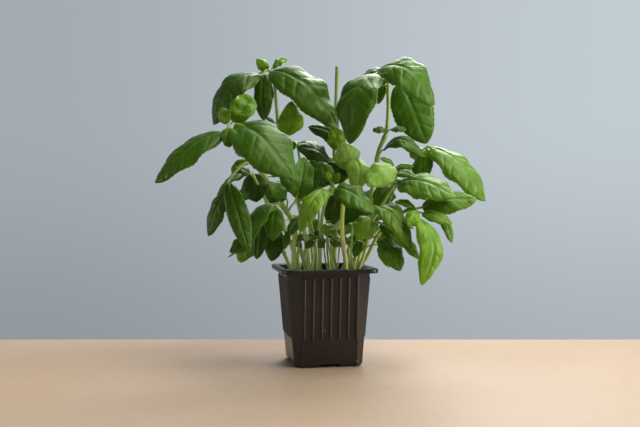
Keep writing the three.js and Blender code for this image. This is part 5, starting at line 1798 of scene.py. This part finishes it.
class BASIL_OT_shoots(bpy.types.Operator):
    """Grows the leafy stems that show from the front"""

    bl_idname = "basil.shoots"
    bl_label = "Front shoots"

    def execute(self, context):
        return grow_all(context, SHOOTS, lambda _, shoot: shoot, SHOOT_SEED)


class BASIL_OT_back_shoots(bpy.types.Operator):
    """Grows the leafy stems behind"""

    bl_idname = "basil.back_shoots"
    bl_label = "Back shoots"

    def execute(self, context):
        return grow_all(context, BACK_SHOOTS, lambda n, row: back_shoot(n, *row), BACK_SEED)


class BASIL_OT_seedlings(bpy.types.Operator):
    """Grows the thin young plants between the stems"""

    bl_idname = "basil.seedlings"
    bl_label = "Seedlings"

    def execute(self, context):
        return grow_all(context, SEEDLINGS, lambda n, row: seedling(n, *row), SEEDLING_SEED)


class BASIL_OT_cut_stems(bpy.types.Operator):
    """Stands the two cut stems in the soil"""

    bl_idname = "basil.cut_stems"
    bl_label = "Cut stems"

    def execute(self, context):
        props = PlantProps(context.scene)
        for name, axis in CUT_STEMS.items():
            curve = Curve([seen(point) for point in rooted(axis)])
            gather = Gather()
            joint = (CUT_JOINT_Z[name] - ROOT_HEIGHTS[0]) / curve.length
            grown_stem(gather, curve, axis.radii, [joint], len(name), props)
            gather.finish(name + "_bar", cut_stem_finish(props), "stem", name)
        return {"FINISHED"}


class BASIL_PT_panel(bpy.types.Panel):
    """Lists the plant's settings and the steps that make it"""

    bl_label = "Potted basil"
    bl_idname = "BASIL_PT_panel"
    bl_space_type = "VIEW_3D"
    bl_region_type = "UI"
    bl_category = "Basil"

    def draw(self, context):
        for key in PROPS:
            box = self.layout.box()
            settings = getattr(context.scene, key)
            for name in settings.__annotations__:
                box.prop(settings, name)
        for step in STEPS:
            self.layout.operator(step.bl_idname)


PROPS = {
    "basil_leaf": BasilLeafProps,
    "basil_stem": BasilStemProps,
    "basil_pot": BasilPotProps,
    "basil_stage": BasilStageProps,
}
STEPS = (
    BASIL_OT_stage,
    BASIL_OT_pot,
    BASIL_OT_soil,
    BASIL_OT_cut_stems,
    BASIL_OT_shoots,
    BASIL_OT_back_shoots,
    BASIL_OT_seedlings,
)


def register():
    for made in (*PROPS.values(), *STEPS, BASIL_PT_panel):
        bpy.utils.register_class(made)
    for key, made in PROPS.items():
        setattr(bpy.types.Scene, key, bpy.props.PointerProperty(type=made))


def unregister():
    for key in PROPS:
        delattr(bpy.types.Scene, key)
    for made in (BASIL_PT_panel, *reversed(STEPS), *PROPS.values()):
        bpy.utils.unregister_class(made)


def main():
    register()
    bpy.ops.basil.stage()
    bpy.ops.basil.pot()
    bpy.ops.basil.soil()
    bpy.ops.basil.cut_stems()
    bpy.ops.basil.shoots()
    bpy.ops.basil.back_shoots()
    bpy.ops.basil.seedlings()


if __name__ == "__main__":
    main()
